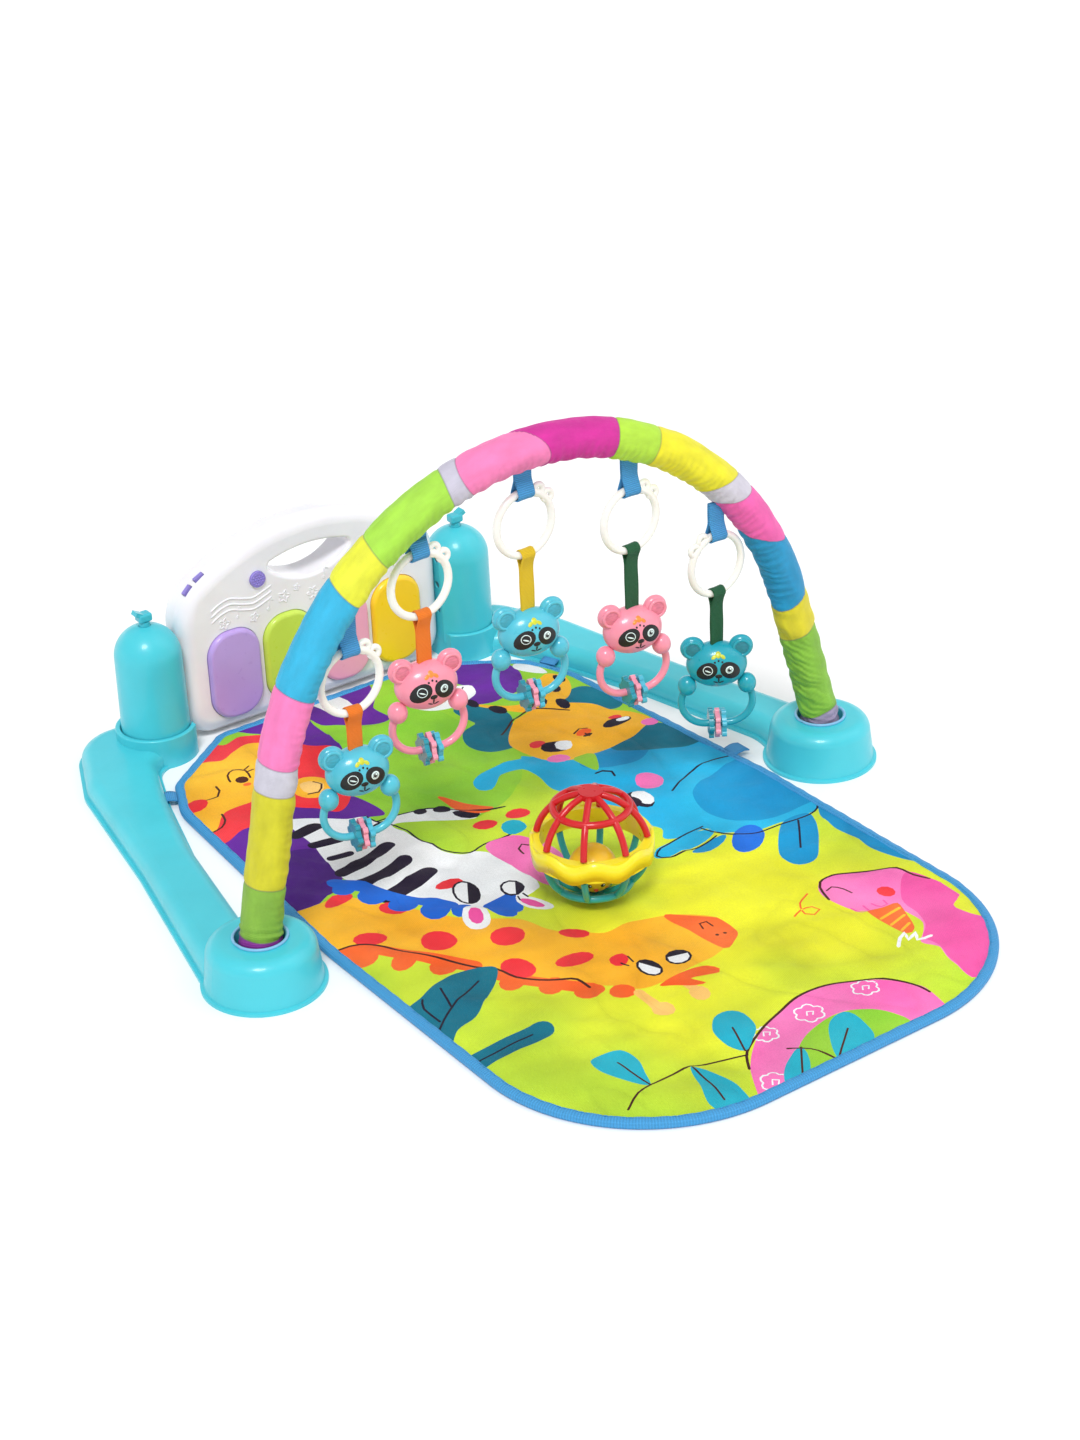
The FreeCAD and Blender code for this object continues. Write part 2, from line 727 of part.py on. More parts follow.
def build_handle():
    """Closed grip bar under the head: a flat bottom run and two round sides that end in the paws."""
    flat = dim("handle_flat")
    arc = dim("handle_arc")
    drop = dim("handle_drop")
    sweep_angle = math.radians(128)
    right_start = Vector(flat, -drop, 0)

    def side(sign, angle):
        return Vector(sign * (flat + arc * math.sin(angle)), -drop + arc - arc * math.cos(angle), 0)

    edges = [
        Part.Arc(side(-1, sweep_angle), side(-1, sweep_angle / 2), side(-1, 0)),
        Part.LineSegment(side(-1, 0), right_start),
        Part.Arc(right_start, side(1, sweep_angle / 2), side(1, sweep_angle)),
    ]
    away = Vector(math.cos(sweep_angle), -math.sin(sweep_angle), 0)
    bar = sweep("handle_bar", edges, "dims.handle_bar", away)
    return group("handle_upright", [bar], (0, 0, 0), Rotation(X_AXIS, 90))


def build_rattles():
    """Five rattles: webbing loop, link ring, ribbon, two head shells, grip and three lobed discs."""
    link = build_link("link_template", (38, 60))
    end_link = build_link("end_link_template", (142, 120))
    front = build_head(True)
    back_cap = build_head(False)
    handle = build_handle()
    paws = []
    for side_x in (-1, 1):
        at = (side_x * dim("paw_x"), -1.5, "-dims.paw_drop")
        paws.append(ellipsoid("paw", "dims.paw_radius", "dims.paw_radius", "dims.paw_radius + 1", at))
    both_paws = fuse("both_paws", paws)
    front_side = box("front_side", (120, 40, 120), (-60, -40, -60))
    back_side = box("back_side", (120, 40, 120), (-60, 0, -60))
    front_paws = common("front_paws", [both_paws, front_side])
    grip = fuse("grip", [handle, common("back_paws", [both_paws, back_side])])
    face = cut("face_half", fuse("face_solid", [front, front_paws]), handle)
    back = fuse("back_half", [back_cap, grip])
    discs = build_discs()
    loops = []
    sleeve = into_arch_plane(group("sleeve_solid", [doc.getObject("sleeve_outside")]))
    for number in RATTLES:
        at = hanging_points(number)
        turn = Rotation(Z_AXIS, dim(f"rattle{number}_turn"))
        reach = at["under"] - at["bar"] + 1.5
        loop = webbing_loop(f"loop_{number}", reach, "dims.webbing_width", True)
        place(loop, (at["x"], at["y"], at["bar"]))
        loops.append(cut(f"loop_{number}_trimmed", loop, sleeve))
        link_shape = end_link if number == len(RATTLES) else link
        keep(group(f"link_{number}", [link_shape], (at["x"], at["y"], at["link"])), f"link_ring_{number}")
        low_bar = at["link"] - dim("link_radius")
        ribbon_reach = low_bar - at["head"] - dim("head_height") / 2 - 0.4
        ribbon = webbing_loop(f"ribbon_{number}_band", ribbon_reach, "dims.ribbon_width", False)
        place(ribbon, (at["x"], at["y"], low_bar))
        keep(ribbon, f"ribbon_{number}")
        head = (at["x"], at["y"], at["head"])
        keep(group(f"face_{number}", [face], head, turn), f"rattle_face_{number}")
        keep(group(f"back_{number}", [back], head, turn), f"rattle_back_{number}")
        keep(group(f"discs_{number}", discs, head, turn), f"rattle_discs_{number}")
    keep(group("loops_together", loops), "arch_loops")


def build_discs():
    """Three lobed discs side by side on the straight bottom of the grip, as separate solids."""
    bar_height = "-dims.handle_drop"
    solids = []
    for place_index, offset in enumerate((-1, 0, 1)):
        x0 = offset * dim("disc_pitch") - dim("disc_thickness") / 2
        core = cylinder("disc_core", "dims.disc_radius", "dims.disc_thickness",
                        (x0, 0, bar_height), ALONG_X)
        lobes = []
        for lobe in range(6):
            turn = math.radians(60 * lobe + 20 * place_index)
            y = dim("disc_radius") * math.cos(turn)
            rise = dim("disc_radius") * math.sin(turn) - dim("handle_drop")
            lobes.append(cylinder("disc_lobe", "dims.disc_lobe", "dims.disc_thickness",
                                  (x0, y, rise), ALONG_X))
        hole = cylinder("disc_hole", "dims.handle_bar + dims.disc_clearance", 20,
                        (x0 - 5, 0, bar_height), ALONG_X)
        solids.append(cut(f"disc_{place_index + 1}", fuse("disc_solid", [core] + lobes), hole))
    return solids


# ---------------------------------------------------------------- mat

# Mat from above, anticlockwise: (x, y, corner radius), y from the plane of the arch.
MAT_OUTLINE = [
    (-228, -367.5, 145),
    (228, -367.5, 145),
    (229, 0, 300),
    (210, 268, 70),
    (190, 314, 25),
    (113, 371.5, 22),
    (-113, 371.5, 22),
    (-190, 314, 25),
    (-210, 268, 70),
    (-229, 0, 300),
]


def build_mat():
    """Padded play mat and the four webbing tabs that tie it to the arms."""
    body = new_body("mat_quilt", (0, "dims.arch_y", 0))
    outline = new_sketch(body, "mat_outline", "XY_Plane", rounded_outline(MAT_OUTLINE))
    pad(body, "mat_body", outline, "dims.mat_thickness")
    keep(body, "mat")
    side_tab = box("side_tab", (9.0, 16, 2.4), (229.6, "dims.arch_y + 40", 3.4))
    slant = Rotation(Z_AXIS, 23.5)
    back_tab = box("back_tab", (5.6, 16, 2.4), (204.2, "dims.arch_y + 283", 3.4), slant)
    right_tabs = group("right_tabs", [side_tab, back_tab])
    keep(group("mat_tabs_all", [right_tabs, mirrored("left_tabs", right_tabs)]), "mat_tabs")


# ---------------------------------------------------------------- piano

def piano_outline(inset):
    """Front view of the piano: square foot, round shoulders and a wide crown, drawn as (x, z)."""
    half = dim("piano_half_width") - inset
    low = dim("piano_bottom") + inset
    foot = dim("piano_foot") - inset
    shoulder = dim("piano_corner") - inset
    crown = dim("piano_crown") - inset
    level = dim("piano_shoulder")
    side_x = dim("piano_half_width") - dim("piano_corner")
    crown_level = dim("piano_top") - dim("piano_crown")
    to_corner = Vector(side_x, level - crown_level, 0)
    to_corner.normalize()
    crown_centre = Vector(0, crown_level, 0)
    corner_centre = Vector(side_x, level, 0)
    join = crown_centre + to_corner * crown
    between = X_AXIS + to_corner
    between.normalize()
    shoulder_middle = corner_centre + between * shoulder

    def left(point):
        return Vector(-point.x, point.y, 0)

    def foot_arc(sign):
        centre = Vector(sign * (half - foot), low + foot, 0)
        diagonal = Vector(sign * math.sqrt(0.5), -math.sqrt(0.5), 0) * foot
        return centre + diagonal

    side_low = Vector(half, low + foot, 0)
    side_high = Vector(half, level, 0)
    bottom = Vector(half - foot, low, 0)
    return [
        Part.LineSegment(left(bottom), bottom),
        Part.Arc(bottom, foot_arc(1), side_low),
        Part.LineSegment(side_low, side_high),
        Part.Arc(side_high, shoulder_middle, join),
        Part.Arc(join, Vector(0, crown_level + crown, 0), left(join)),
        Part.Arc(left(join), left(shoulder_middle), left(side_high)),
        Part.LineSegment(left(side_high), left(side_low)),
        Part.Arc(left(side_low), foot_arc(-1), left(bottom)),
    ]


def grip_outline():
    """Lens-shaped slot under the crown that a hand goes through."""
    half = dim("grip_half_length")
    level = dim("grip_level")
    left = Vector(-half, level, 0)
    right = Vector(half, level, 0)
    return [
        Part.Arc(left, Vector(0, level + dim("grip_rise"), 0), right),
        Part.Arc(right, Vector(0, level - dim("grip_drop"), 0), left),
    ]


def cut_grip(body, name, depth, face_y):
    """Cut the hand slot through a shell, round its two ends and its lip on the outer face."""
    reverse = face_y < 0
    slot = new_sketch(body, name + "_outline", "XZ_Plane", grip_outline())
    pocket(body, name, slot, depth + " + 1", reverse=reverse)
    half = dim("grip_half_length")
    level = dim("grip_level")

    def at_end(bb):
        return abs(abs(bb.XMin) - half) < 0.1 and abs(bb.XMax - bb.XMin) < 0.1 and bb.ZMin > level - 1

    def on_lip(bb):
        on_face = abs(bb.YMin - face_y) < 0.01 and abs(bb.YMax - face_y) < 0.01
        return on_face and bb.ZMin > level - dim("grip_drop") - 1 and bb.ZMax < level + dim("grip_rise") + 1

    round_rim(body, name + "_ends", 5, at_end)
    round_rim(body, name + "_lip", 3, on_lip)


def key_centres():
    pitch = dim("key_pitch")
    return [(index - 1.5) * pitch for index in range(4)]


def rim_button(number):
    """Centre point, slope and outward direction of a small button in the piano's left shoulder."""
    angle = math.radians({1: 46.0, 2: 64.0}[number])
    radius = dim("piano_corner")
    centre = Vector(-(dim("piano_half_width") - radius), 0, dim("piano_shoulder"))
    outward = Vector(-math.cos(angle), 0, math.sin(angle))
    return centre + outward * radius, outward


CASE_SCREWS = [(-96.0, 146.0), (96.0, 146.0), (-131.2, 30.0), (131.2, 30.0)]


def piano_body(name):
    return new_body(name, (0, "dims.arch_y + dims.piano_dy", 0))


def build_piano_front():
    """Front shell: a shallow tray with key windows, the grip slot, button holes and two side lugs."""
    body = piano_body("piano_front_body")
    depth = "dims.piano_front_depth"
    pad(body, "front_block", new_sketch(body, "front_outline", "XZ_Plane", piano_outline(0)), depth)
    front = -dim("piano_front_depth")
    round_rim(body, "front_rim", 14, lambda bb: bb.YMax < front + 0.01)
    cavity = new_sketch(body, "front_cavity", "XZ_Plane",
                        rounded_outline(rectangle(250, 117, 16, (0, 66.5))))
    pocket(body, "front_hollow", cavity, depth + " - dims.piano_wall", reverse=True)
    windows = []
    for centre in key_centres():
        size = (dim("key_width") + 2 * dim("key_gap"), dim("key_height") + 2 * dim("key_gap"))
        corners = rectangle(*size, dim("key_corner") + dim("key_gap"), (centre, dim("key_centre")))
        windows += rounded_outline(corners)
    pocket(body, "key_windows", new_sketch(body, "window_outlines", "XZ_Plane", windows),
           depth + " + 1", reverse=True)
    cut_grip(body, "front_grip", depth, front)
    y0 = "dims.arch_y + dims.piano_dy"
    lugs = [body]
    for side in (-1, 1):
        x0 = "dims.piano_half_width - 3" if side > 0 else "-dims.piano_half_width - 3.2"
        lugs.append(box("side_lug", (6.2, 6, 28), (x0, y0 + " - 6.2", 62)))
    tools = [cylinder("play_hole", "dims.button_radius + 0.3", 31.5,
                      ("dims.button_x", y0 + " - 40", "dims.button_z"), ALONG_Y)]
    for number in (1, 2):
        centre, outward = rim_button(number)
        start = centre - outward * 8
        tool = box(f"rim_slot_{number}", (11.0, 5.0, 12), rotation=Rotation(Z_AXIS, outward))
        local = Rotation(Z_AXIS, outward).multVec(Vector(-5.5, -2.5, 0))
        tools.append(place(tool, (start.x + local.x, y0 + " - 12.5", start.z + local.z),
                           Rotation(Z_AXIS, outward)))
    for x, height in CASE_SCREWS:
        tools.append(cylinder("front_pilot", 2.1, 20, (x, y0 + " - 10.5", height), ALONG_Y))
    joined = fuse("piano_front_joined", lugs)
    keep(cut("piano_front_cut", joined, fuse("front_tools", tools)), "piano_front_shell")


def build_piano_rear():
    """Rear shell with the grip slot, the battery bay and the screw holes."""
    body = piano_body("piano_rear_body")
    depth = "dims.piano_rear_depth"
    pad(body, "rear_block", new_sketch(body, "rear_outline", "XZ_Plane", piano_outline(0)), depth, True)
    back = dim("piano_rear_depth")
    round_rim(body, "rear_rim", 10, lambda bb: bb.YMin > back - 0.01)
    cavity = new_sketch(body, "rear_cavity", "XZ_Plane",
                        rounded_outline(rectangle(250, 117, 16, (0, 66.5))))
    pocket(body, "rear_hollow", cavity, depth + " - dims.piano_wall")
    cut_grip(body, "rear_grip", depth, back)
    door = new_sketch(body, "door_outline", "XZ_Plane", rounded_outline(rectangle(96, 62, 0.6, (0, 60))))
    pocket(body, "door_opening", door, depth + " + 1")
    y0 = "dims.arch_y + dims.piano_dy"
    holes = []
    for x, height in CASE_SCREWS:
        holes.append(cylinder("rear_hole", 2.1, 30, (x, y0 + " - 5", height), ALONG_Y))
        holes.append(cylinder("rear_counterbore", 3.9, 12, (x, y0 + " + 8", height), ALONG_Y))
    keep(cut("piano_rear_cut", body, fuse("rear_holes", holes)), "piano_rear_shell")


def build_keys():
    """Four crowned keys with a retaining flange behind the window, and the rubber contact mat."""
    front = dim("piano_front_depth")
    wall = dim("piano_wall")
    for number, centre in enumerate(key_centres(), start=1):
        body = piano_body(f"key_body_{number}")
        corners = rectangle(dim("key_width"), dim("key_height"), dim("key_corner"),
                            (centre, dim("key_centre")))
        face = new_sketch(body, f"key_outline_{number}", "XZ_Plane", rounded_outline(corners))
        lift_sketch(face, "dims.piano_front_depth - dims.piano_wall")
        pad(body, f"key_cap_{number}", face, "dims.piano_wall + dims.key_proud")
        level = -(front + dim("key_proud"))
        round_rim(body, f"key_crown_{number}", 4, lambda bb: bb.YMax < level + 0.01)
        wide = rounded_outline(grown(corners, dim("key_gap") + 1.4))
        flange = new_sketch(body, f"key_flange_outline_{number}", "XZ_Plane", wide)
        lift_sketch(flange, "dims.piano_front_depth - dims.piano_wall - dims.key_flange")
        pad(body, f"key_flange_{number}", flange, "dims.key_flange")
        keep(body, f"piano_key_{number}")
    y0 = "dims.arch_y + dims.piano_dy"
    sheet_y = y0 + f" - {front - wall - 9.5}"
    membrane = [box("contact_sheet", (232, 1.6, 80), (-116, sheet_y, 30))]
    for number, centre in enumerate(key_centres(), start=1):
        dome_at = (centre, sheet_y + " - 3", "dims.key_centre")
        membrane.append(cylinder(f"contact_dome_{number}", 6, 3, dome_at, ALONG_Y))
    keep(fuse("contact_mat", membrane), "key_contact_mat")
    board = box("board", (232, 1.6, 84), (-116, sheet_y + " + 1.6", 28))
    keep(board, "circuit_board")


def build_piano_insides():
    """Speaker, battery door, three cells and the case screws."""
    y0 = "dims.arch_y + dims.piano_dy"
    speaker = doc.addObject("Part::Cone", "speaker_cone")
    bind(speaker, Radius1=12, Radius2=18, Height=9)
    place(speaker, (86, y0 + " + 1", 60), ALONG_Y)
    keep(speaker, "speaker")
    cells = [
        cylinder(f"cell_{index}", 7.1, 50, (-25, y0 + " + 4.8", 44 + 16 * index), ALONG_X)
        for index in range(3)
    ]
    keep(group("cells", cells), "batteries")
    door = box("door_plate", (95, 2.6, 61), (-47.5, y0 + " + dims.piano_rear_depth - 2.8", 29.5))
    keep(door, "battery_door")
    screws = []
    for index, (x, height) in enumerate(CASE_SCREWS, start=1):
        shank = cylinder(f"case_screw_shank_{index}", 2, 18, (x, y0 + " - 10", height), ALONG_Y)
        head = cylinder(f"case_screw_head_{index}", 3.6, 2.4, (x, y0 + " + 8", height), ALONG_Y)
        screws.append(fuse(f"case_screw_{index}", [shank, head]))
    keep(group("case_screws", screws), "piano_screws")


def build_buttons():
    """Round play button on the face and two small volume buttons in the left shoulder."""
    y0 = "dims.arch_y + dims.piano_dy"
    front = dim("piano_front_depth")
    play = cylinder("play_button_pin", "dims.button_radius", 10.5,
                    ("dims.button_x", y0 + f" - {front + 2.5}", "dims.button_z"), ALONG_Y)
    keep(play, "play_button")
    for number, name in ((1, "volume_down_button"), (2, "volume_up_button")):
        centre, outward = rim_button(number)
        turn = Rotation(Z_AXIS, outward)
        start = centre - outward * 5.5
        local = turn.multVec(Vector(-5.0, 0, 0))
        button = box(f"rim_button_{number}", (10, 4, 6.5), rotation=turn)
        place(button, (start.x + local.x, y0 + " - 12", start.z + local.z), turn)
        keep(button, name)


# ---------------------------------------------------------------- ball

def cage(name, upper):
    """Half of the ball's lattice: eight meridian ribs and one ring of latitude."""
    centre = ("dims.ball_x", "dims.arch_y + dims.ball_dy", "dims.mat_thickness + dims.ball_radius + 0.2")
    radius = dim("ball_radius") - dim("ball_bar")
    sign = 1 if upper else -1
    ribs = []
    for index in range(8):
        turn = Rotation(Z_AXIS, 45.0 * index)
        start = 12 if upper else -80
        meridian = turn.multiply(Rotation(X_AXIS, 90)).multiply(Rotation(Z_AXIS, start))
        ribs.append(torus(f"{name}_rib", radius, "dims.ball_bar", 68, centre, meridian))
    ring_turn = math.radians(48)
    ring_height = f"{centre[2]} + {sign * radius * math.sin(ring_turn)}"
    ring = torus(f"{name}_ring", radius * math.cos(ring_turn), "dims.ball_bar + 0.2", 360,
                 (centre[0], centre[1], ring_height))
    cap_height = f"{centre[2]} + {sign * radius - 2.6}"
    cap = cylinder(f"{name}_cap", 10, 5.2, (centre[0], centre[1], cap_height))
    return fuse(name, ribs + [ring, cap])


def build_ball():
    """Rattle ball: red upper lattice, yellow band, teal lower lattice and the chick ball inside."""
    centre = ("dims.ball_x", "dims.arch_y + dims.ball_dy", "dims.mat_thickness + dims.ball_radius + 0.2")
    keep(cage("upper_cage", True), "ball_upper_cage")
    keep(cage("lower_cage", False), "ball_lower_cage")
    low = (centre[0], centre[1], centre[2] + " - 8")
    rim = cylinder("band_outside", "dims.ball_radius + 0.8", 16, low)
    hole = cylinder("band_inside", "dims.ball_radius - 6.5", 16, low)
    keep(cut("band", rim, hole), "ball_band")
    drop = dim("ball_radius") - 2 * dim("ball_bar") - dim("chick_radius") - 0.5
    chick = ellipsoid("chick", "dims.chick_radius", "dims.chick_radius", "dims.chick_radius",
                      (centre[0], centre[1], centre[2] + f" - {drop}"))
    keep(chick, "ball_chick")


build_arm()
build_tower()
build_arch()
build_rattles()
build_mat()
build_piano_front()
build_piano_rear()
build_keys()
build_piano_insides()
build_buttons()
build_ball()
doc.recompute()

os.makedirs("parts", exist_ok=True)
for obj in doc.Objects:
    if "Invalid" in obj.State or "Error" in obj.State:
        raise RuntimeError(f"{obj.Name} failed: {obj.State}")
for obj in SUBPARTS:
    if obj.Shape.isNull() or not obj.Shape.isValid():
        raise RuntimeError(f"{obj.Label} has no valid shape")
    obj.Shape.exportStep(f"parts/{obj.Label}.step")
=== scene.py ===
"""Looks of the baby play gym: printed mat, padded sleeve, ribbons, toy faces, reliefs and materials."""

import math
from collections import namedtuple
import bpy
import numpy as np
from mathutils import Matrix, Vector, geometry, noise


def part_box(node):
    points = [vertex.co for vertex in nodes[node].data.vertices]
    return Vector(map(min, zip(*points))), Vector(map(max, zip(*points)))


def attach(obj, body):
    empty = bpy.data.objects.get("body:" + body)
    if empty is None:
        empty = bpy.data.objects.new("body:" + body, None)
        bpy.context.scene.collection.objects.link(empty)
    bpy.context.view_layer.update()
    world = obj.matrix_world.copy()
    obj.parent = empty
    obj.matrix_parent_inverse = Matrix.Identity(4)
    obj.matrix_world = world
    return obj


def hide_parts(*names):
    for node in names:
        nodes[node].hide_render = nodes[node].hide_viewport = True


MM = 0.001
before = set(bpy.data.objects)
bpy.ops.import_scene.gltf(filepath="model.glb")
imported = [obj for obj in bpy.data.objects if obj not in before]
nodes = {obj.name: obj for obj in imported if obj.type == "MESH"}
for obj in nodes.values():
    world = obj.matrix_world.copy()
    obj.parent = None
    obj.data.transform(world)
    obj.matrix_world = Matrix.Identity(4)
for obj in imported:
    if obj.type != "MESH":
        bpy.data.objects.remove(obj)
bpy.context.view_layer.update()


# ---------------------------------------------------------------- materials

MIDDLE = (0.3, 0.7)   # where most values of a noise lie


def rgb(code):
    """Linear colour from a six-figure sRGB code."""
    parts = [int(code[i:i + 2], 16) / 255 for i in (0, 2, 4)]
    return [c / 12.92 if c <= 0.04045 else ((c + 0.055) / 1.055) ** 2.4 for c in parts] + [1.0]


def shade(code, factor):
    """Linear colour from a code, made lighter or darker."""
    return [min(max(c * factor, 0.0), 1.0) for c in rgb(code)[:3]] + [1.0]


class Finish:
    """A procedural node material that is put together a node at a time."""

    def __init__(self, name, roughness=0.5, coat=0.0, sheen=0.0, metallic=0.0):
        self.material = bpy.data.materials.new(name)
        self.material.use_nodes = True
        self.tree = self.material.node_tree
        self.tree.nodes.clear()
        self.shader = self.add("ShaderNodeBsdfPrincipled", {
            "Roughness": roughness, "Coat Weight": coat, "Coat Roughness": 0.12, "Sheen Weight": sheen,
            "Metallic": metallic})
        self.add("ShaderNodeOutputMaterial", {0: self.shader.outputs[0]})
        self.place = self.add("ShaderNodeTexCoord", {}).outputs["Object"]

    def feed(self, node, sockets):
        """Give each socket its plain value or its source."""
        for socket, source in sockets.items():
            if isinstance(source, (int, float, list, tuple)):
                node.inputs[socket].default_value = source
            else:
                self.tree.links.new(source, node.inputs[socket])
        return node

    def add(self, kind, sockets, **settings):
        node = self.tree.nodes.new(kind)
        for name, value in settings.items():
            setattr(node, name, value)
        return self.feed(node, sockets)

    def by_uv(self):
        self.place = self.add("ShaderNodeUVMap", {}, uv_map="run").outputs["UV"]
        return self

    def axes(self, place):
        """The x and y of a place."""
        split = self.add("ShaderNodeSeparateXYZ", {0: place})
        return split.outputs[0], split.outputs[1]

    def noise(self, scale, detail=2.0, stretch=(1, 1, 1)):
        spread = self.add("ShaderNodeMapping", {"Vector": self.place, "Scale": stretch}).outputs[0]
        return self.add("ShaderNodeTexNoise", {"Vector": spread, "Scale": scale, "Detail": detail}).outputs[0]

    def wave(self, scale, axis, distortion):
        return self.add("ShaderNodeTexWave", {"Vector": self.place, "Scale": scale, "Distortion": distortion},
                        bands_direction=axis).outputs["Fac"]

    def maths(self, operation, first, second=0.0):
        return self.add("ShaderNodeMath", {0: first, 1: second}, operation=operation).outputs[0]

    def plus(self, first, second):
        return self.maths("ADD", first, second)

    def minus(self, first, second):
        return self.maths("SUBTRACT", first, second)

    def times(self, first, second):
        return self.maths("MULTIPLY", first, second)

    def ranged(self, value, low, high, start=0.0, end=1.0):
        """A value brought from start and end to low and high."""
        return self.add("ShaderNodeMapRange", {"Value": value, "From Min": start, "From Max": end,
                                               "To Min": low, "To Max": high}).outputs[0]

    def mix(self, factor, first, second):
        return self.add("ShaderNodeMix", {0: factor, 6: first, 7: second}, data_type="RGBA").outputs[2]

    def scaled(self, tone, factor):
        return self.add("ShaderNodeVectorMath", {0: tone, "Scale": factor}, operation="SCALE").outputs[0]

    def colour(self, source):
        self.feed(self.shader, {"Base Color": source})
        return self

    def shades(self, factor, code, low, high):
        """Base colour between two shades of one code."""
        return self.colour(self.mix(factor, shade(code, low), shade(code, high)))

    def rough(self, source):
        self.feed(self.shader, {"Roughness": source})
        return self

    def bump(self, height, depth, strength=1.0):
        raised = self.add("ShaderNodeBump", {"Height": height, "Distance": depth, "Strength": strength})
        self.feed(self.shader, {"Normal": raised.outputs[0]})
        return self


def plastic(name, code, roughness=0.28, coat=0.35, grain=0.5):
    """Moulded plastic: slight mottling of the pigment, uneven gloss and a faint moulded grain."""
    made = Finish(name, roughness, coat)
    made.shades(made.ranged(made.noise(22.0, 3.0), 0.0, 1.0, *MIDDLE), code, 0.95, 1.04)
    made.rough(made.ranged(made.noise(160.0), roughness - 0.03, roughness + 0.05, *MIDDLE))
    made.feed(made.shader, {"Specular IOR Level": 0.35, "Subsurface Weight": 0.04, "Subsurface Scale": 0.004})
    return made.bump(made.noise(700.0), 0.00012 * grain).material


def metal(name, code):
    """Brushed metal."""
    made = Finish(name, 0.3, metallic=1.0)
    brushed = made.noise(120.0, 4.0, (1, 1, 14))
    made.shades(brushed, code, 0.75, 1.1).rough(made.ranged(brushed, 0.22, 0.45))
    return made.bump(brushed, 0.00005).material


def inlay(name, code, roughness=0.35, coat=0.2):
    """Pad-printed ink on plastic, slightly streaky."""
    made = Finish(name, roughness, coat)
    streak = made.noise(240.0, 3.0, (1, 1, 3))
    made.shades(made.ranged(streak, 0.0, 1.0, *MIDDLE), code, 0.82, 1.12)
    made.rough(made.ranged(streak, roughness - 0.08, roughness + 0.12))
    return made.bump(streak, 0.00004).material


def wave_scale(pitch):
    """Scale of a wave texture that repeats at that pitch in metres."""
    return math.pi / (10 * pitch)


def strap(name, code, rib=0.0016, sheen=0.04, painted_groove_shade=0.72):
    """Woven strap with ribs across its length, its colour darkened in the grooves between the ribs as painted
    shade; the run map holds metres along and across.
    """
    made = Finish(name, 0.7, sheen=sheen).by_uv()
    threads = made.wave(wave_scale(rib) * 1.7, "Y", 0.8)
    relief = made.plus(made.wave(wave_scale(rib), "X", 0.4), made.times(threads, 0.5))
    # painted shade: the colour is darkest where the rib relief is low, in the grooves between the ribs
    made.shades(made.ranged(relief, 0.0, 1.0, 0.0, 1.5), code, painted_groove_shade, 1.15)
    made.rough(made.ranged(made.noise(300.0), 0.55, 0.8))
    return made.bump(relief, 0.00035).material


def weave(made, pitch, depth):
    """Height of a plain weave with that pitch in metres."""
    across, along = (made.wave(wave_scale(pitch), axis, 0.6) for axis in "XY")
    return made.times(made.plus(across, along), depth)


def printed(made, tone):
    """Brushed cloth that carries that ink: fine flecks, a fine weave and soft creases that run both ways,
    with painted light and shade on the creases and painted shade along fine crinkles.
    """
    flecks = made.ranged(made.noise(900.0, 1.0), 0.93, 1.05, *MIDDLE)
    creases = made.plus(made.noise(17.0, 2.0, (1.0, 0.38, 1.0)), made.noise(21.0, 2.0, (0.4, 1.0, 1.0)))
    level = made.maths("ABSOLUTE", made.minus(made.noise(7.5, 3.0, (1.0, 0.5, 1.0)), 0.5))
    crinkle = made.ranged(level, 1.0, 0.0, 0.0, 0.022)
    # painted light and shade: the ink is made lighter and darker with the creases, and darker along the
    # crinkles
    shading = made.minus(made.ranged(creases, 0.84, 1.08, 0.75, 1.2), made.times(crinkle, 0.07))
    made.colour(made.scaled(tone, made.times(flecks, shading)))
    made.rough(made.ranged(made.noise(60.0), 0.62, 0.82, *MIDDLE))
    made.feed(made.shader, {"Specular IOR Level": 0.22})
    height = made.plus(weave(made, 0.0013, 0.25), made.times(creases, 8.0))
    return made.bump(made.minus(height, made.times(crinkle, 1.2)), 0.0009, 0.8).material


def print_cloth(name, low, high):
    """One printed colour of the mat, slightly uneven."""
    made = Finish(name, 0.72, sheen=0.02)
    ink = made.ranged(made.noise(9.0, 4.0), 0.0, 1.0, 0.32, 0.68)
    return printed(made, made.mix(ink, rgb(low), rgb(high)))


def ground_cloth():
    """Printed ground of the mat: sunny in the middle of the open end, greener to the edges and the piano."""
    made = Finish("print_ground", 0.72, sheen=0.02)
    x, y = made.axes(made.place)
    warp = made.ranged(made.noise(7.0), -0.07, 0.07, *MIDDLE)
    across = made.times(made.minus(x, 0.06), 0.85)
    along = made.times(made.plus(y, 0.19), 1.05)
    reach = made.maths("SQRT", made.plus(made.times(across, across), made.times(along, along)))
    ring = made.plus(reach, warp)
    tone = made.mix(made.ranged(ring, 0.0, 1.0, 0.07, 0.19), rgb("e6e62e"), rgb("c9e038"))
    return printed(made, made.mix(made.ranged(ring, 0.0, 1.0, 0.20, 0.36), tone, rgb("97d235")))


AQUA = plastic("aqua_shell", "46c3d2", 0.36, 0.25)
AQUA_LIP = plastic("aqua_lip", "7fb6dd", 0.4, 0.2)
WHITE = plastic("white_shell", "ecebf1", 0.22, 0.5, 0.2)
IVORY = plastic("ivory", "efeee8", 0.25, 0.45)
PURPLE = plastic("purple_button", "8d7fd0", 0.4, 0.2, 2.5)
BLACK_INK = inlay("black_ink", "0e0e13", 0.5, 0.05)
WHITE_INK = inlay("white_ink", "dff3f2")
GOLD_INK = inlay("gold_ink", "c9cf2e")
RED_INK = inlay("red_ink", "e8452f")
ORANGE_INK = inlay("orange_ink", "f08a35")
BLUE_STRAP = strap("blue_webbing", "3f97d3")


# ---------------------------------------------------------------- meshes

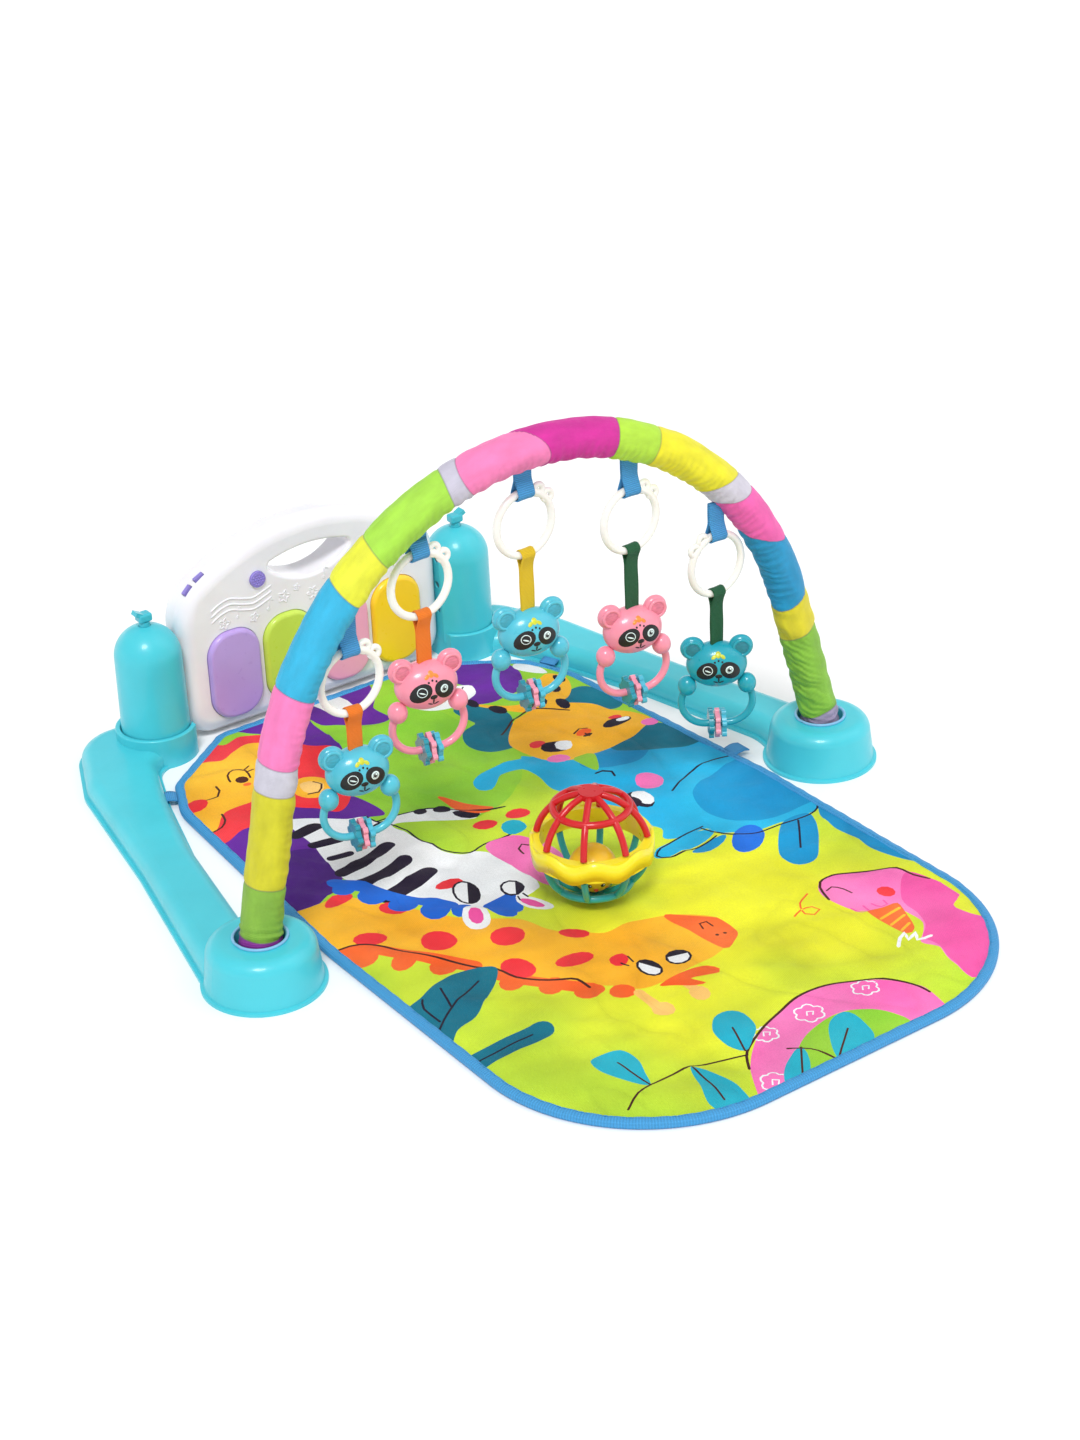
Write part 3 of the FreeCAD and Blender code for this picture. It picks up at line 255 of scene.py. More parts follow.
def make(name, points, faces, materials, marks=None, run=None):
    """A smooth mesh piece from points in millimetres; marks give each face's material."""
    mesh = bpy.data.meshes.new(name)
    mesh.from_pydata([Vector(p) * MM for p in points], [], faces)
    for material in materials:
        mesh.materials.append(material)
    if marks is not None:
        mesh.polygons.foreach_set("material_index", marks)
    if run is not None:
        layer = mesh.uv_layers.new(name="run")
        loops = np.empty(len(mesh.loops), int)
        mesh.loops.foreach_get("vertex_index", loops)
        layer.data.foreach_set("uv", (np.asarray(run, float)[loops] * MM).ravel())
    mesh.polygons.foreach_set("use_smooth", [True] * len(mesh.polygons))
    mesh.validate()
    mesh.update()
    obj = bpy.data.objects.new(name, mesh)
    bpy.context.scene.collection.objects.link(obj)
    return obj


def joined(name, objects):
    """One piece out of several, each with its own materials."""
    with bpy.context.temp_override(active_object=objects[0], selected_editable_objects=objects):
        bpy.ops.object.join()
    objects[0].name = name
    objects[0].data.name = name
    return objects[0]


def circle(count):
    """Angles at even steps round a full turn."""
    return [math.tau * k / count for k in range(count)]


def oval(x, y, across, along, turn, sides):
    """Points round an oval with those half axes, turned by that many degrees."""
    cos, sin = math.cos(math.radians(turn)), math.sin(math.radians(turn))
    flat = [(across * math.cos(a), along * math.sin(a)) for a in circle(sides)]
    return [(x + u * cos - v * sin, y + u * sin + v * cos) for u, v in flat]


def skin(rings, sides, start=0, closed=False):
    """Quads between rings of points that follow one another, the last one joined to the first if closed."""
    faces = []
    for i in range(rings if closed else rings - 1):
        low, high = start + i * sides, start + (i + 1) % rings * sides
        faces += [(low + k, high + k, high + (k + 1) % sides, low + (k + 1) % sides) for k in range(sides)]
    return faces


def other_side(faces):
    """The same quads, seen from the other side."""
    return [(a, d, c, b) for a, b, c, d in faces]


def lids(rings, sides):
    """The two faces that shut a run of rings."""
    return [tuple(range(sides))[::-1], tuple(range((rings - 1) * sides, rings * sides))]


def heading(path, i, closed=False):
    """Direction of a path at one of its points."""
    if closed:
        return (path[(i + 1) % len(path)] - path[i - 1]).normalized()
    return (path[min(i + 1, len(path) - 1)] - path[max(i - 1, 0)]).normalized()


def spline(points, step, closed=True):
    """Points along a Catmull-Rom curve through the given ones, about a step apart."""
    points = [np.array(p, float) for p in points]
    count = len(points)
    result = []
    for i in range(count if closed else count - 1):
        if closed:
            a, b, c, d = (points[(i + k) % count] for k in (-1, 0, 1, 2))
        else:
            a, b, c, d = (points[min(max(i + k, 0), count - 1)] for k in (-1, 0, 1, 2))
        parts = max(int(np.linalg.norm(c - b) / step), 1)
        for t in (k / parts for k in range(parts)):
            result.append(0.5 * (2 * b + (c - a) * t + (2 * a - 5 * b + 4 * c - d) * t**2
                                 + (3 * b - a - 3 * c + d) * t**3))
    return result if closed else result + [points[-1]]


def tube(name, rings, materials, closed=False):
    """Skin over rings of points, with lids at the ends unless it is closed."""
    sides = len(rings[0])
    faces = other_side(skin(len(rings), sides, closed=closed))
    if not closed:
        faces += lids(len(rings), sides)
    return make(name, [p for ring in rings for p in ring], faces, materials)


def bead(path, radius, material, name, closed=False):
    """Round bead along 3-D points, its open ends drawn in."""
    path = [Vector(p) for p in path]
    rings = []
    for i, p in enumerate(path):
        along = heading(path, i, closed)
        side = along.cross(Vector((0, 1, 0)))
        if side.length < 0.1:
            side = along.cross(Vector((0, 0, 1)))
        side.normalize()
        up = side.cross(along)
        swell = 1.0 if closed or 0 < i < len(path) - 1 else 0.45
        rings.append([p + (side * math.cos(a) + up * math.sin(a)) * radius * swell for a in circle(8)])
    return tube(name, rings, [material], closed=closed)


# ---------------------------------------------------------------- the mat's outline and its printed shapes

ARCH_Y = -30.5

# Corners of the mat as x, y from the arch and radius.
MAT_CORNERS = [(-228, -367.5, 145), (228, -367.5, 145), (229, 0, 300), (210, 268, 70), (190, 314, 25),
               (113, 371.5, 22), (-113, 371.5, 22), (-190, 314, 25), (-210, 268, 70), (-229, 0, 300)]


def mat_outline(step, inset):
    """The mat's outline, anticlockwise, with rounded corners, moved inwards and cut into steps."""
    places = [Vector((x, y + ARCH_Y)) for x, y, _ in MAT_CORNERS]
    outline = []
    for i, here in enumerate(places):
        radius = MAT_CORNERS[i][2]
        before = (places[i - 1] - here).normalized()
        after = (places[(i + 1) % len(places)] - here).normalized()
        half = before.angle(after) / 2
        centre = here + (before + after).normalized() * (radius / math.sin(half))
        start = here + before * (radius / math.tan(half)) - centre
        turn = math.pi - 2 * half
        first = math.atan2(start.y, start.x)
        parts = max(int(radius * turn / step), 3)
        for angle in (first + turn * k / parts for k in range(parts + 1)):
            outline.append(centre + Vector((math.cos(angle), math.sin(angle))) * (radius - inset))
    filled = []
    for a, b in zip(outline, outline[1:] + outline[:1]):
        parts = max(int((b - a).length / step), 1)
        filled += [a + (b - a) * k / parts for k in range(parts)]
    return filled


INKS = {
    "grass": ("7cc531", "a0d63c"), "sun": ("cfdc1e", "e2e63a"), "purple": ("4f1a86", "6f2aa4"),
    "dusk": ("3a1368", "54208a"), "red": ("e3242f", "f4434b"), "gold": ("f2aa20", "fbc438"),
    "orange": ("f0581c", "f6763a"), "white": ("e6eaee", "f7f8f9"), "ink": ("150d1f", "241634"),
    "brown": ("3b1c14", "52291c"), "blue": ("0f57c4", "2473dd"), "pink": ("f05fae", "f98bc6"),
    "rose": ("e63f97", "f266ae"), "leaf": ("066079", "0d7f95"), "teal": ("12a0bd", "2bbcd1"),
    "sky": ("0aa2d8", "2ab8e4"), "sea": ("0784bd", "1698cf"), "cream": ("f6c064", "fad389"),
}
PRINT = {"lime": ground_cloth()}
PRINT.update({ink: print_cloth("print_" + ink, *codes) for ink, codes in INKS.items()})
INK_NAMES = list(PRINT)
FINE = 4.0   # a drawn line that is no wider has pointed ends


def blob(ink, *points):
    """A filled shape with a smooth outline through the points."""
    return ink, spline(points, 4.0)


def spot(ink, x, y, across, along, turn=0.0):
    """A filled oval."""
    return ink, oval(x, y, across, along, turn, max(int((across + along) * 0.55), 10))


def spots(ink, *ovals):
    return [spot(ink, *sizes) for sizes in ovals]


def stroke(ink, width, *points):
    """A drawn line of that width with round ends."""
    path = [Vector(p) for p in spline(points, 5.0, closed=False)]
    ways = [heading(path, i) * width / 2 for i in range(len(path))]
    sides = [Vector((-way.y, way.x)) for way in ways]
    steps = [math.pi * k / 8 for k in (range(1, 8) if width > FINE else (4,))]
    start = [path[0] - ways[0] * math.sin(t) - sides[0] * math.cos(t) for t in steps]
    end = [path[-1] + ways[-1] * math.sin(t) + sides[-1] * math.cos(t) for t in steps]
    left = [p + side for p, side in zip(path, sides)]
    right = [p - side for p, side in zip(path, sides)]
    return ink, start + left + end + right[::-1]


def strokes(ink, width, *lines):
    return [stroke(ink, width, *points) for points in lines]


def flower(ink, x, y, size):
    """Outline of a six-petalled flower with a squiggle in it."""
    ring = []
    for a in circle(24):
        reach = size * (0.78 + 0.22 * abs(math.cos(3 * a)))
        ring.append((x + reach * math.cos(a), y + reach * math.sin(a)))
    squiggle = (x - 3, y - 1), (x, y + 3), (x + 4, y), (x + 1, y - 3)
    return [stroke(ink, 1.5, *ring, ring[0]), stroke(ink, 1.4, *squiggle)]


def eye(x, y, across, along, turn=0.0, dark=0.0):
    """White eye with a dark rim and one half dark, the half towards that angle."""
    white = spot("white", x, y, across - 2.0, along - 2.0, turn)
    way = Vector((math.cos(math.radians(dark)), math.sin(math.radians(dark))))
    half = [p for p in white[1] if way.dot(Vector(p) - Vector((x, y))) > 0]
    return [spot("ink", x, y, across, along, turn), white, ("ink", half)]


# The print's shapes, the lowest first, in millimetres on the mat: x to the right and y to the piano.
GROUND = [
    blob("lime", (-232, -88), (-205, -86), (-180, -105), (-170, -122), (-205, -130), (-232, -146)),
    blob("grass", (-62, 62), (0, 64), (62, 110), (72, 200), (60, 260), (40, 345), (-40, 345), (-52, 240),
         (-70, 190), (-95, 130), (-92, 105)),
    blob("purple", (-100, 350), (-40, 350), (-36, 300), (-42, 240), (-60, 225), (-80, 300)),
]
LION = [
    blob("purple", (-236, 20), (-205, 28), (-165, 48), (-140, 80), (-100, 125), (-75, 120), (-85, 175),
         (-140, 185), (-190, 175), (-236, 170)),
    blob("dusk", (-236, 20), (-205, 28), (-165, 48), (-150, 100), (-190, 120), (-236, 110)),
    blob("red", (-222, 180), (-207, 165), (-185, 172), (-160, 166), (-140, 182), (-118, 168), (-104, 148),
         (-82, 164), (-72, 190), (-66, 212), (-48, 226), (-46, 248), (-60, 264), (-74, 288), (-84, 308),
         (-100, 322), (-120, 318), (-130, 338), (-150, 330), (-166, 314), (-184, 318), (-200, 290),
         (-218, 240)),
    blob("gold", (-214, 190), (-212, 240), (-203, 265), (-186, 288), (-166, 300), (-150, 301), (-138, 291),
         (-120, 300), (-102, 305), (-90, 292), (-94, 270), (-104, 248), (-108, 222), (-124, 206),
         (-152, 211), (-180, 211), (-200, 190)),
    spot("gold", -99, 200, 18, 20, 10), spot("cream", -99, 200, 10, 12, 10),
    stroke("brown", 1.8, (-108, 192), (-99, 189), (-91, 197), (-93, 208)), spot("red", -195, 236, 12, 9, 10),
    *strokes("brown", 2, ((-183, 237), (-172, 238), (-166, 245), (-165, 253)), ((-151, 252), (-148, 262),
             (-139, 268), (-131, 260), (-133, 248))),
    spot("brown", -141, 249, 6, 5, -20),
    *strokes("brown", 1.6, ((-131, 262), (-124, 266)), ((-132, 257), (-124, 258))),
    spot("orange", -141, 240, 4, 3), stroke("brown", 2, (-206, 188), (-196, 189), (-188, 197), (-184, 210)),
]
ZEBRA = [
    blob("white", (-150, 158), (-138, 160), (-122, 148), (-105, 133), (-92, 128), (-88, 112), (-80, 96),
         (-75, 60), (-68, 30), (-52, 20), (-42, 8), (-38, -20), (-38, -45), (-45, -64), (-62, -66),
         (-78, -60), (-95, -62), (-112, -50), (-120, -38), (-132, -20), (-145, 0), (-156, 25), (-160, 60),
         (-152, 110)),
    stroke("ink", 13, (-154, 136), (-134, 137)), stroke("ink", 10, (-152, 112), (-130, 107)),
    stroke("ink", 8, (-150, 87), (-134, 84)), stroke("ink", 13, (-156, 60), (-130, 64), (-104, 71)),
    stroke("ink", 14, (-152, 34), (-130, 36), (-106, 43)),
    stroke("ink", 17, (-148, 4), (-125, 8), (-102, 14)), spot("red", -99, -13, 12, 7, -15),
]
GIRAFFE = [
    blob("gold", (-236, 28), (-236, -46), (-205, -50), (-188, -62), (-170, -95), (-150, -128), (-130, -165),
         (-106, -196), (-86, -216), (-70, -230), (-45, -234), (-22, -231), (12, -229), (30, -216),
         (38, -198), (35, -180), (20, -165), (0, -156), (-22, -151), (-45, -152), (-60, -140), (-75, -120),
         (-85, -95), (-108, -72), (-125, -52), (-142, -28), (-158, 2), (-176, 24), (-205, 32)),
    *spots("orange", (-214, -58, 16, 12), (-190, -84, 13, 10, 40), (-170, -110, 13, 11, 30),
           (-140, -160, 13, 10, 30), (-120, -184, 12, 10, 30), (-104, -209, 11, 11), (-84, -226, 11, 9)),
    stroke("orange", 15, (-228, -44), (-202, -52), (-186, -72), (-168, -100), (-152, -124)),
    stroke("orange", 13, (-146, -142), (-136, -158), (-122, -176), (-108, -196), (-98, -212)),
    blob("orange", (8, -160), (22, -168), (34, -182), (41, -200), (38, -216), (27, -225), (14, -229),
         (10, -200)),
    stroke("brown", 1.6, (20, -195), (22, -188), (28, -189), (29, -196)),
    *spots("brown", (22, -210, 1.6, 1.6), (29, -211, 1.6, 1.6)),
    stroke("cream", 9, (-74, -234), (-76, -262)), spot("cream", -74, -264, 9, 9),
    stroke("cream", 8, (-38, -238), (-40, -262)), spot("cream", -40, -265, 8, 9),
    blob("orange", (-56, -236), (-40, -233), (-22, -233), (-10, -237), (-5, -246), (-10, -252), (-22, -247),
         (-32, -244), (-28, -258), (-36, -255), (-46, -244)),
    *spots("red", (-152, -77, 14, 16), (-107, -107, 14, 12, -30), (-64, -137, 8, 13, 35),
           (-126, -148, 12, 15, 20), (-85, -166, 16, 9, -15), (-60, -190, 8, 7), (-193, -40, 14, 9, -20),
           (-182, 24, 14, 8, 10), (-154, -14, 10, 13, 20)),
    stroke("brown", 2.2, (-224, -36), (-205, -42), (-192, -52), (-180, -75), (-165, -100), (-151, -126),
           (-140, -138), (-134, -156), (-122, -171), (-108, -183), (-101, -191), (-100, -206)),
]
# The zebra's mane, ears and eyes, which lie over the giraffe, and the giraffe's eyes.
ZEBRA_HEAD = [
    *spots("blue", (-168, 38, 12, 10, 40), (-157, 13, 12, 13), (-144, -14, 13, 13), (-129, -38, 13, 12),
           (-112, -52, 10, 9)),
    stroke("blue", 13, (-170, 50), (-156, 30), (-147, 8), (-134, -16), (-116, -40)),
    *spots("blue", (-88, -72, 8, 16, 12), (-76, -70, 8, 15, -15)),
    stroke("blue", 10, (-92, -60), (-70, -58)), spot("white", -110, -68, 11, 19, -22),
    spot("rose", -109, -66, 6, 11, -22), spot("white", -61, -80, 8, 18, 20),
    spot("rose", -62, -78, 4.5, 12, 20), *eye(-95, -32, 11, 17, -15, -35), *eye(-62, -50, 10, 11, 0, -35),
    *strokes("ink", 1.5, ((-65, -62), (-67, -68)), ((-60, -62), (-59, -68))), *eye(-47, -212, 9, 13, 0, 27),
    *eye(-20, -214, 11, 10, 0, 61),
    *strokes("ink", 1.5, ((-58, -200), (-61, -194)), ((-52, -198), (-52, -191))),
]
SIDE_LEAVES = [
    blob("leaf", (-234, -148), (-205, -133), (-182, -125), (-156, -126), (-139, -136), (-150, -152),
         (-168, -166), (-190, -182), (-210, -188), (-234, -204)),
    *strokes("ink", 1.8, ((-232, -188), (-205, -166), (-180, -152), (-160, -143)), ((-214, -170),
             (-214, -148), (-208, -137)), ((-197, -160), (-190, -135))),
    stroke("leaf", 20, (-240, -231), (-200, -229), (-162, -228)),
    stroke("ink", 1.6, (-232, -231), (-200, -229), (-170, -228)),
]
# The snake, the front leaves and the flowers.
SNAKE = [
    blob("grass", (-34, -372), (-10, -355), (15, -350), (45, -360), (62, -385), (64, -410), (-30, -410)),
    blob("pink", (-92, -412), (-80, -376), (-62, -352), (-40, -335), (-10, -322), (20, -315), (50, -320),
         (75, -335), (92, -352), (98, -372), (90, -412), (62, -405), (61, -382), (47, -363), (25, -351),
         (0, -352), (-20, -360), (-38, -376), (-52, -405)),
    *flower("white", -36, -338, 10), *flower("white", 8, -336, 12), *flower("white", 62, -338, 11),
    *flower("white", -68, -386, 11),
    stroke("brown", 2.2, (-72, -362), (-60, -345), (-38, -333), (-10, -321), (20, -314), (50, -319),
           (76, -334), (92, -351), (97, -372)),
    blob("teal", (-146, -281), (-131, -284), (-128, -300), (-134, -318), (-142, -334), (-152, -318),
         (-161, -298), (-158, -284)),
    blob("teal", (-60, -343), (-66, -330), (-65, -312), (-52, -297), (-38, -295), (-30, -305), (-35, -325),
         (-47, -336)),
    blob("teal", (-105, -335), (-97, -350), (-92, -372), (-98, -398), (-116, -396), (-122, -378),
         (-113, -355)),
    blob("teal", (-27, -366), (-30, -380), (-44, -396), (-60, -402), (-62, -390), (-47, -374)),
    blob("teal", (-12, -392), (0, -368), (13, -354), (28, -352), (33, -365), (28, -386), (12, -396)),
    stroke("brown", 1.8, (-171, -346), (-155, -337), (-130, -333), (-105, -334), (-82, -341), (-62, -348)),
    *strokes("brown", 1.6, ((-143, -297), (-141, -334)), ((-50, -316), (-60, -343)), ((-104, -336),
             (-106, -360), (-110, -380)), ((-26, -366), (-50, -396))),
    stroke("brown", 1.8, (-36, -362), (-22, -372), (-13, -394)),
    stroke("brown", 1.6, (-12, -392), (18, -368)),
]
DINOSAUR = [
    stroke("orange", 1.6, (88, -226), (98, -222), (108, -224), (110, -231), (102, -234), (97, -228),
           (104, -214), (118, -207)),
    blob("pink", (126, -215), (131, -205), (140, -198), (152, -197), (165, -203), (182, -212), (200, -223),
         (207, -238), (213, -265), (210, -300), (205, -330), (192, -352), (140, -378), (138, -355),
         (145, -330), (140, -316), (152, -306), (162, -292), (158, -268), (143, -260), (132, -250),
         (127, -232)),
    blob("rose", (170, -262), (200, -232), (212, -250), (212, -300), (206, -335), (190, -352), (140, -378),
         (140, -352), (148, -325), (146, -312), (160, -300), (168, -282)),
    blob("sun", (196, -296), (205, -288), (222, -282), (222, -310), (206, -318)),
    blob("orange", (136, -258), (150, -262), (163, -264), (158, -282), (150, -298), (140, -300),
         (137, -280)),
    *strokes("gold", 2.4, ((138, -272), (160, -270)), ((139, -283), (157, -279)), ((140, -294),
             (152, -290))),
    spot("red", 170, -243, 7.5, 8),
    *strokes("rose", 1.8, ((131, -245), (133, -256), (139, -257), (141, -248)), ((148, -250), (150, -260),
             (156, -260), (159, -252))),
    stroke("brown", 2.2, (126, -224), (132, -206), (142, -198), (153, -197), (167, -204), (184, -213),
           (200, -223), (205, -238), (211, -250)),
    stroke("brown", 1.4, (133, -213), (140, -211), (146, -219), (147, -228)),
    stroke("white", 3, (122, -310), (131, -302), (140, -298), (134, -308), (147, -303), (140, -312),
           (153, -314)),
]
ELEPHANT = [
    blob("sky", (74, 128), (90, 108), (125, 97), (150, 88), (190, 62), (240, 55), (240, -70), (226, -100),
         (208, -108), (172, -106), (142, -101), (126, -90), (122, -73), (100, -72), (84, -64), (92, -50),
         (82, -30), (90, -10), (74, 20), (62, 60), (66, 92)),
    blob("sky", (66, 62), (64, 95), (55, 108), (40, 110), (29, 101), (20, 96), (11, 102), (14, 116),
         (28, 124), (50, 126), (74, 124), (92, 112), (96, 80)),
    blob("sea", (120, 96), (150, 86), (175, 72), (150, 55), (118, 62), (104, 80)),
    blob("sea", (150, -20), (200, 0), (240, 0), (240, -80), (205, -95), (160, -92), (140, -60)),
    spot("sky", 92, -81, 33, 10, 4), spot("sea", 106, -97, 20, 6, 8), spot("blue", 138, -109, 22, 13, 35),
    blob("sea", (205, -108), (180, -106), (158, -124), (141, -146), (138, -160), (148, -169), (162, -168),
         (178, -152), (194, -132)),
    blob("sea", (240, -70), (222, -100), (210, -118), (206, -140), (208, -160), (207, -182), (213, -204),
         (222, -222), (240, -214)),
    *strokes("ink", 1.8, ((122, -68), (98, -70), (76, -75), (62, -82), (70, -91), (95, -93), (120, -89)),
             ((119, -70), (124, -85), (130, -98), (150, -106), (175, -109), (205, -110), (222, -100),
             (226, -78)), ((190, -112), (176, -130), (160, -150)), ((137, -8), (155, 2), (176, 12),
             (200, 15), (222, 13))),
    stroke("ink", 2, (107, 62), (113, 60), (118, 53), (116, 46)), spot("pink", 134, 20, 12, 15, -15),
    spot("ink", 108, -1, 10, 15), spot("white", 111, 0, 8, 13), spot("ink", 100, 0, 7, 10),
]
# The big cats, the leaves between them and the cloud.
CATS = [
    blob("leaf", (62, 150), (51, 164), (50, 182), (60, 197), (76, 202), (77, 216), (74, 234), (86, 242),
         (98, 226), (112, 200), (92, 165), (82, 146)),
    blob("leaf", (146, 94), (152, 74), (172, 60), (202, 51), (220, 56), (218, 82), (206, 104), (178, 98)),
    blob("leaf", (160, 188), (178, 202), (198, 204), (208, 188), (210, 158), (190, 150)),
    blob("purple", (94, 236), (112, 226), (132, 230), (152, 236), (168, 262), (170, 300), (160, 350),
         (104, 350), (106, 300), (112, 272), (100, 252)),
    blob("white", (52, 256), (62, 246), (82, 240), (102, 246), (114, 256), (115, 270), (100, 281), (74, 283),
         (55, 276), (49, 266)),
    *strokes("ink", 1.4, ((62, 262), (74, 258)), ((64, 270), (76, 266)), ((98, 262), (108, 268)), ((84, 250),
             (88, 243))),
    blob("white", (168, 270), (178, 282), (190, 262), (188, 245), (178, 250)),
    blob("gold", (92, 240), (100, 224), (112, 206), (128, 190), (150, 186), (172, 192), (190, 210),
         (197, 232), (188, 243), (168, 236), (148, 216), (128, 206), (108, 222)),
    blob("gold", (78, 150), (80, 130), (87, 108), (102, 94), (130, 90), (160, 92), (186, 98), (206, 112),
         (208, 122), (201, 136), (190, 150), (184, 170), (160, 186), (134, 192), (108, 184), (91, 170)),
    *spots("ink", (96, 236, 5, 9), (108, 212, 6, 10, 20), (148, 200, 6, 9, -30), (162, 185, 6, 10, -10),
           (175, 216, 6, 9, -20), (190, 229, 5, 8)),
    stroke("brown", 2.2, (152, 222), (165, 216), (180, 222)),
    stroke("brown", 2, (84, 172), (108, 186), (134, 193), (160, 172)),
    *spots("pink", (203, 108, 10, 7, 15), (97, 103, 11, 8, -20)),
    *spots("red", (97, 135, 8, 6), (183, 134, 7, 5)), spot("ink", 108, 122, 14, 9, -20),
    spot("white", 115, 120, 8, 8), spot("ink", 178, 124, 17, 7, 8), spot("white", 186, 126, 8, 4, 8),
    spot("orange", 142, 126, 8, 5), stroke("brown", 2, (134, 130), (142, 133), (149, 130)),
    spot("brown", 142, 120, 5, 2.4), stroke("brown", 1.6, (142, 124), (142, 117)),
    blob("grass", (105, 92), (111, 64), (126, 90), (116, 96)),
]
FAR_LEAVES = [
    blob("purple", (-36, 350), (-33, 300), (-20, 284), (-5, 270), (10, 261), (24, 264), (22, 288), (38, 312),
         (42, 350)),
    blob("white", (-16, 350), (-13, 302), (0, 284), (10, 290), (10, 350)),
]
# The bird in the middle with its wing and dots.
BIRD = [
    blob("white", (-95, 112), (-80, 110), (-60, 106), (-40, 99), (-24, 86), (-10, 70), (-24, 65), (-46, 78),
         (-66, 89), (-86, 99)),
    blob("lime", (-82, 98), (-60, 88), (-40, 75), (-20, 65), (2, 62), (-4, 30), (-40, 22), (-60, 20),
         (-72, 34), (-76, 60)),
    *spots("ink", (-88, 108, 8, 3.5, -5), (-52, 100, 6, 5, -30), (-35, 92, 8, 6, -30),
           (-22, 74, 12, 6, -40)),
    blob("orange", (-26, 112), (-13, 90), (2, 68), (-10, 66), (-24, 82)),
    *strokes("ink", 1.8, ((-90, 128), (-88, 114), (-80, 96), (-76, 60), (-70, 34), (-56, 20), (-38, 24),
             (-6, 22)), ((-88, 114), (-60, 105), (-38, 97), (-10, 70), (10, 62))),
    *spots("red", (-20, 49, 11, 9, -20), (12, 46, 11, 9, -20)), spot("teal", -4, 29, 11, 11),
    blob("pink", (-40, 20), (-43, -10), (-38, -60), (-24, -74), (-6, -60), (2, -20), (-8, 16), (-25, 24)),
    stroke("brown", 1.8, (-22, -10), (-20, 0), (-14, 4), (-11, -2)),
]

MAT_ART = (GROUND + LION + ZEBRA + GIRAFFE + ZEBRA_HEAD + SIDE_LEAVES + SNAKE + DINOSAUR + ELEPHANT
           + CATS + FAR_LEAVES + BIRD)


# ---------------------------------------------------------------- play mat

def inside(points, ring):
    """Which of the points lie inside a closed ring."""
    ring = np.asarray(ring, float)
    found = np.zeros(len(points), bool)
    low, high = ring.min(0), ring.max(0)
    near = ((points > low) & (points < high)).all(1)
    x, y = points[near].T
    odd = np.zeros(len(x), bool)
    for (ax, ay), (bx, by) in zip(ring, np.roll(ring, -1, 0)):
        if ay != by:
            odd ^= ((ay > y) != (by > y)) & (x < (bx - ax) * (y - ay) / (by - ay) + ax)
    found[near] = odd
    return found


def mat_height(x, y, edge):
    """Padding under the print: soft humps, creases and folds that die out at the bound edge."""
    body = 1 - math.exp(-edge / 14.0)
    swell = noise.noise(Vector((x / 70, y / 95, 0.3)))
    crease = noise.noise(Vector((x / 24 + y / 60, y / 46 - x / 90, 4.1)))
    fold = 1 - abs(noise.noise(Vector((x / 95 - y / 260, y / 38 + x / 70, 9.2)))) * 3.2
    pucker = math.sin(x / 4.3) * math.sin(y / 4.9) * math.exp(-edge / 9.0)
    return 4.5 + 2.0 * body + (1.1 * swell + 1.0 * crease + 2.3 * max(fold, 0.0)) * body + 0.35 * pucker


def cut_cloth(edge, shapes):
    """Flat triangles that fill the edge and follow the outline of every shape."""
    step = 7.0
    points = list(edge)
    lines = [(i, (i + 1) % len(edge)) for i in range(len(edge))]
    for _, ring in shapes:
        start = len(points)
        points += ring
        lines += [(start + i, start + (i + 1) % len(ring)) for i in range(len(ring))]
    grid = np.array([(x + (step / 2 if row % 2 else 0), y) for row, y in enumerate(np.arange(-400, 345, step))
                     for x in np.arange(-232, 232, step)])
    points += [tuple(p) for p in grid[inside(grid, edge)]]
    flat, _, faces, _, _, _ = geometry.delaunay_2d_cdt([Vector(p) for p in points], lines, [], 0, 0.02, False)
    flat = np.array([tuple(p) for p in flat])
    faces = np.array([f for f in faces if len(f) == 3])
    return flat, faces[inside(flat[faces].mean(1), edge)]


def build_mat():
    """Padded cloth: the printed upper side, walls at the edge and a plain flat underside."""
    edge = [tuple(p) for p in mat_outline(7.0, 3.0)]
    shapes = [(ink, [tuple(p)[:2] for p in ring]) for ink, ring in MAT_ART]
    flat, faces = cut_cloth(edge, shapes)
    centres = flat[faces].mean(1)
    marks = np.full(len(faces), INK_NAMES.index("lime"))
    for ink, ring in shapes:
        marks[inside(centres, ring)] = INK_NAMES.index(ink)
    border = np.array(edge)
    gaps = [math.sqrt(((border - p)**2).sum(1).min()) for p in flat]
    top = [(x, y, mat_height(x, y, gap)) for (x, y), gap in zip(flat, gaps)]
    bottom = [(x, y, 0.4) for x, y in flat]
    count = len(flat)
    pairs = {(a, b) for tri in faces for a, b in zip(tri, np.roll(tri, -1))}
    walls = [(b, a, a + count, b + count) for a, b in pairs if (b, a) not in pairs]
    every = [tuple(f) for f in faces] + [tuple(f[::-1] + count) for f in faces] + walls
    marks = list(marks) + [len(PRINT)] * (len(faces) + len(walls))
    cloths = [*PRINT.values(), print_cloth("mat_back", "3f9fd0", "5bb3dc")]
    mat = make("mat_cloth", top + bottom, every, cloths, marks)
    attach(mat, "base")
    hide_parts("mat")


# Section of the binding: outwards and up from the floor.
BINDING = [(-3.9, 5.4), (-2.9, 6.6), (0.0, 6.9), (3.0, 6.1), (4.5, 4.0), (4.3, 1.6), (3.0, 0.2), (-3.8, 0.2)]


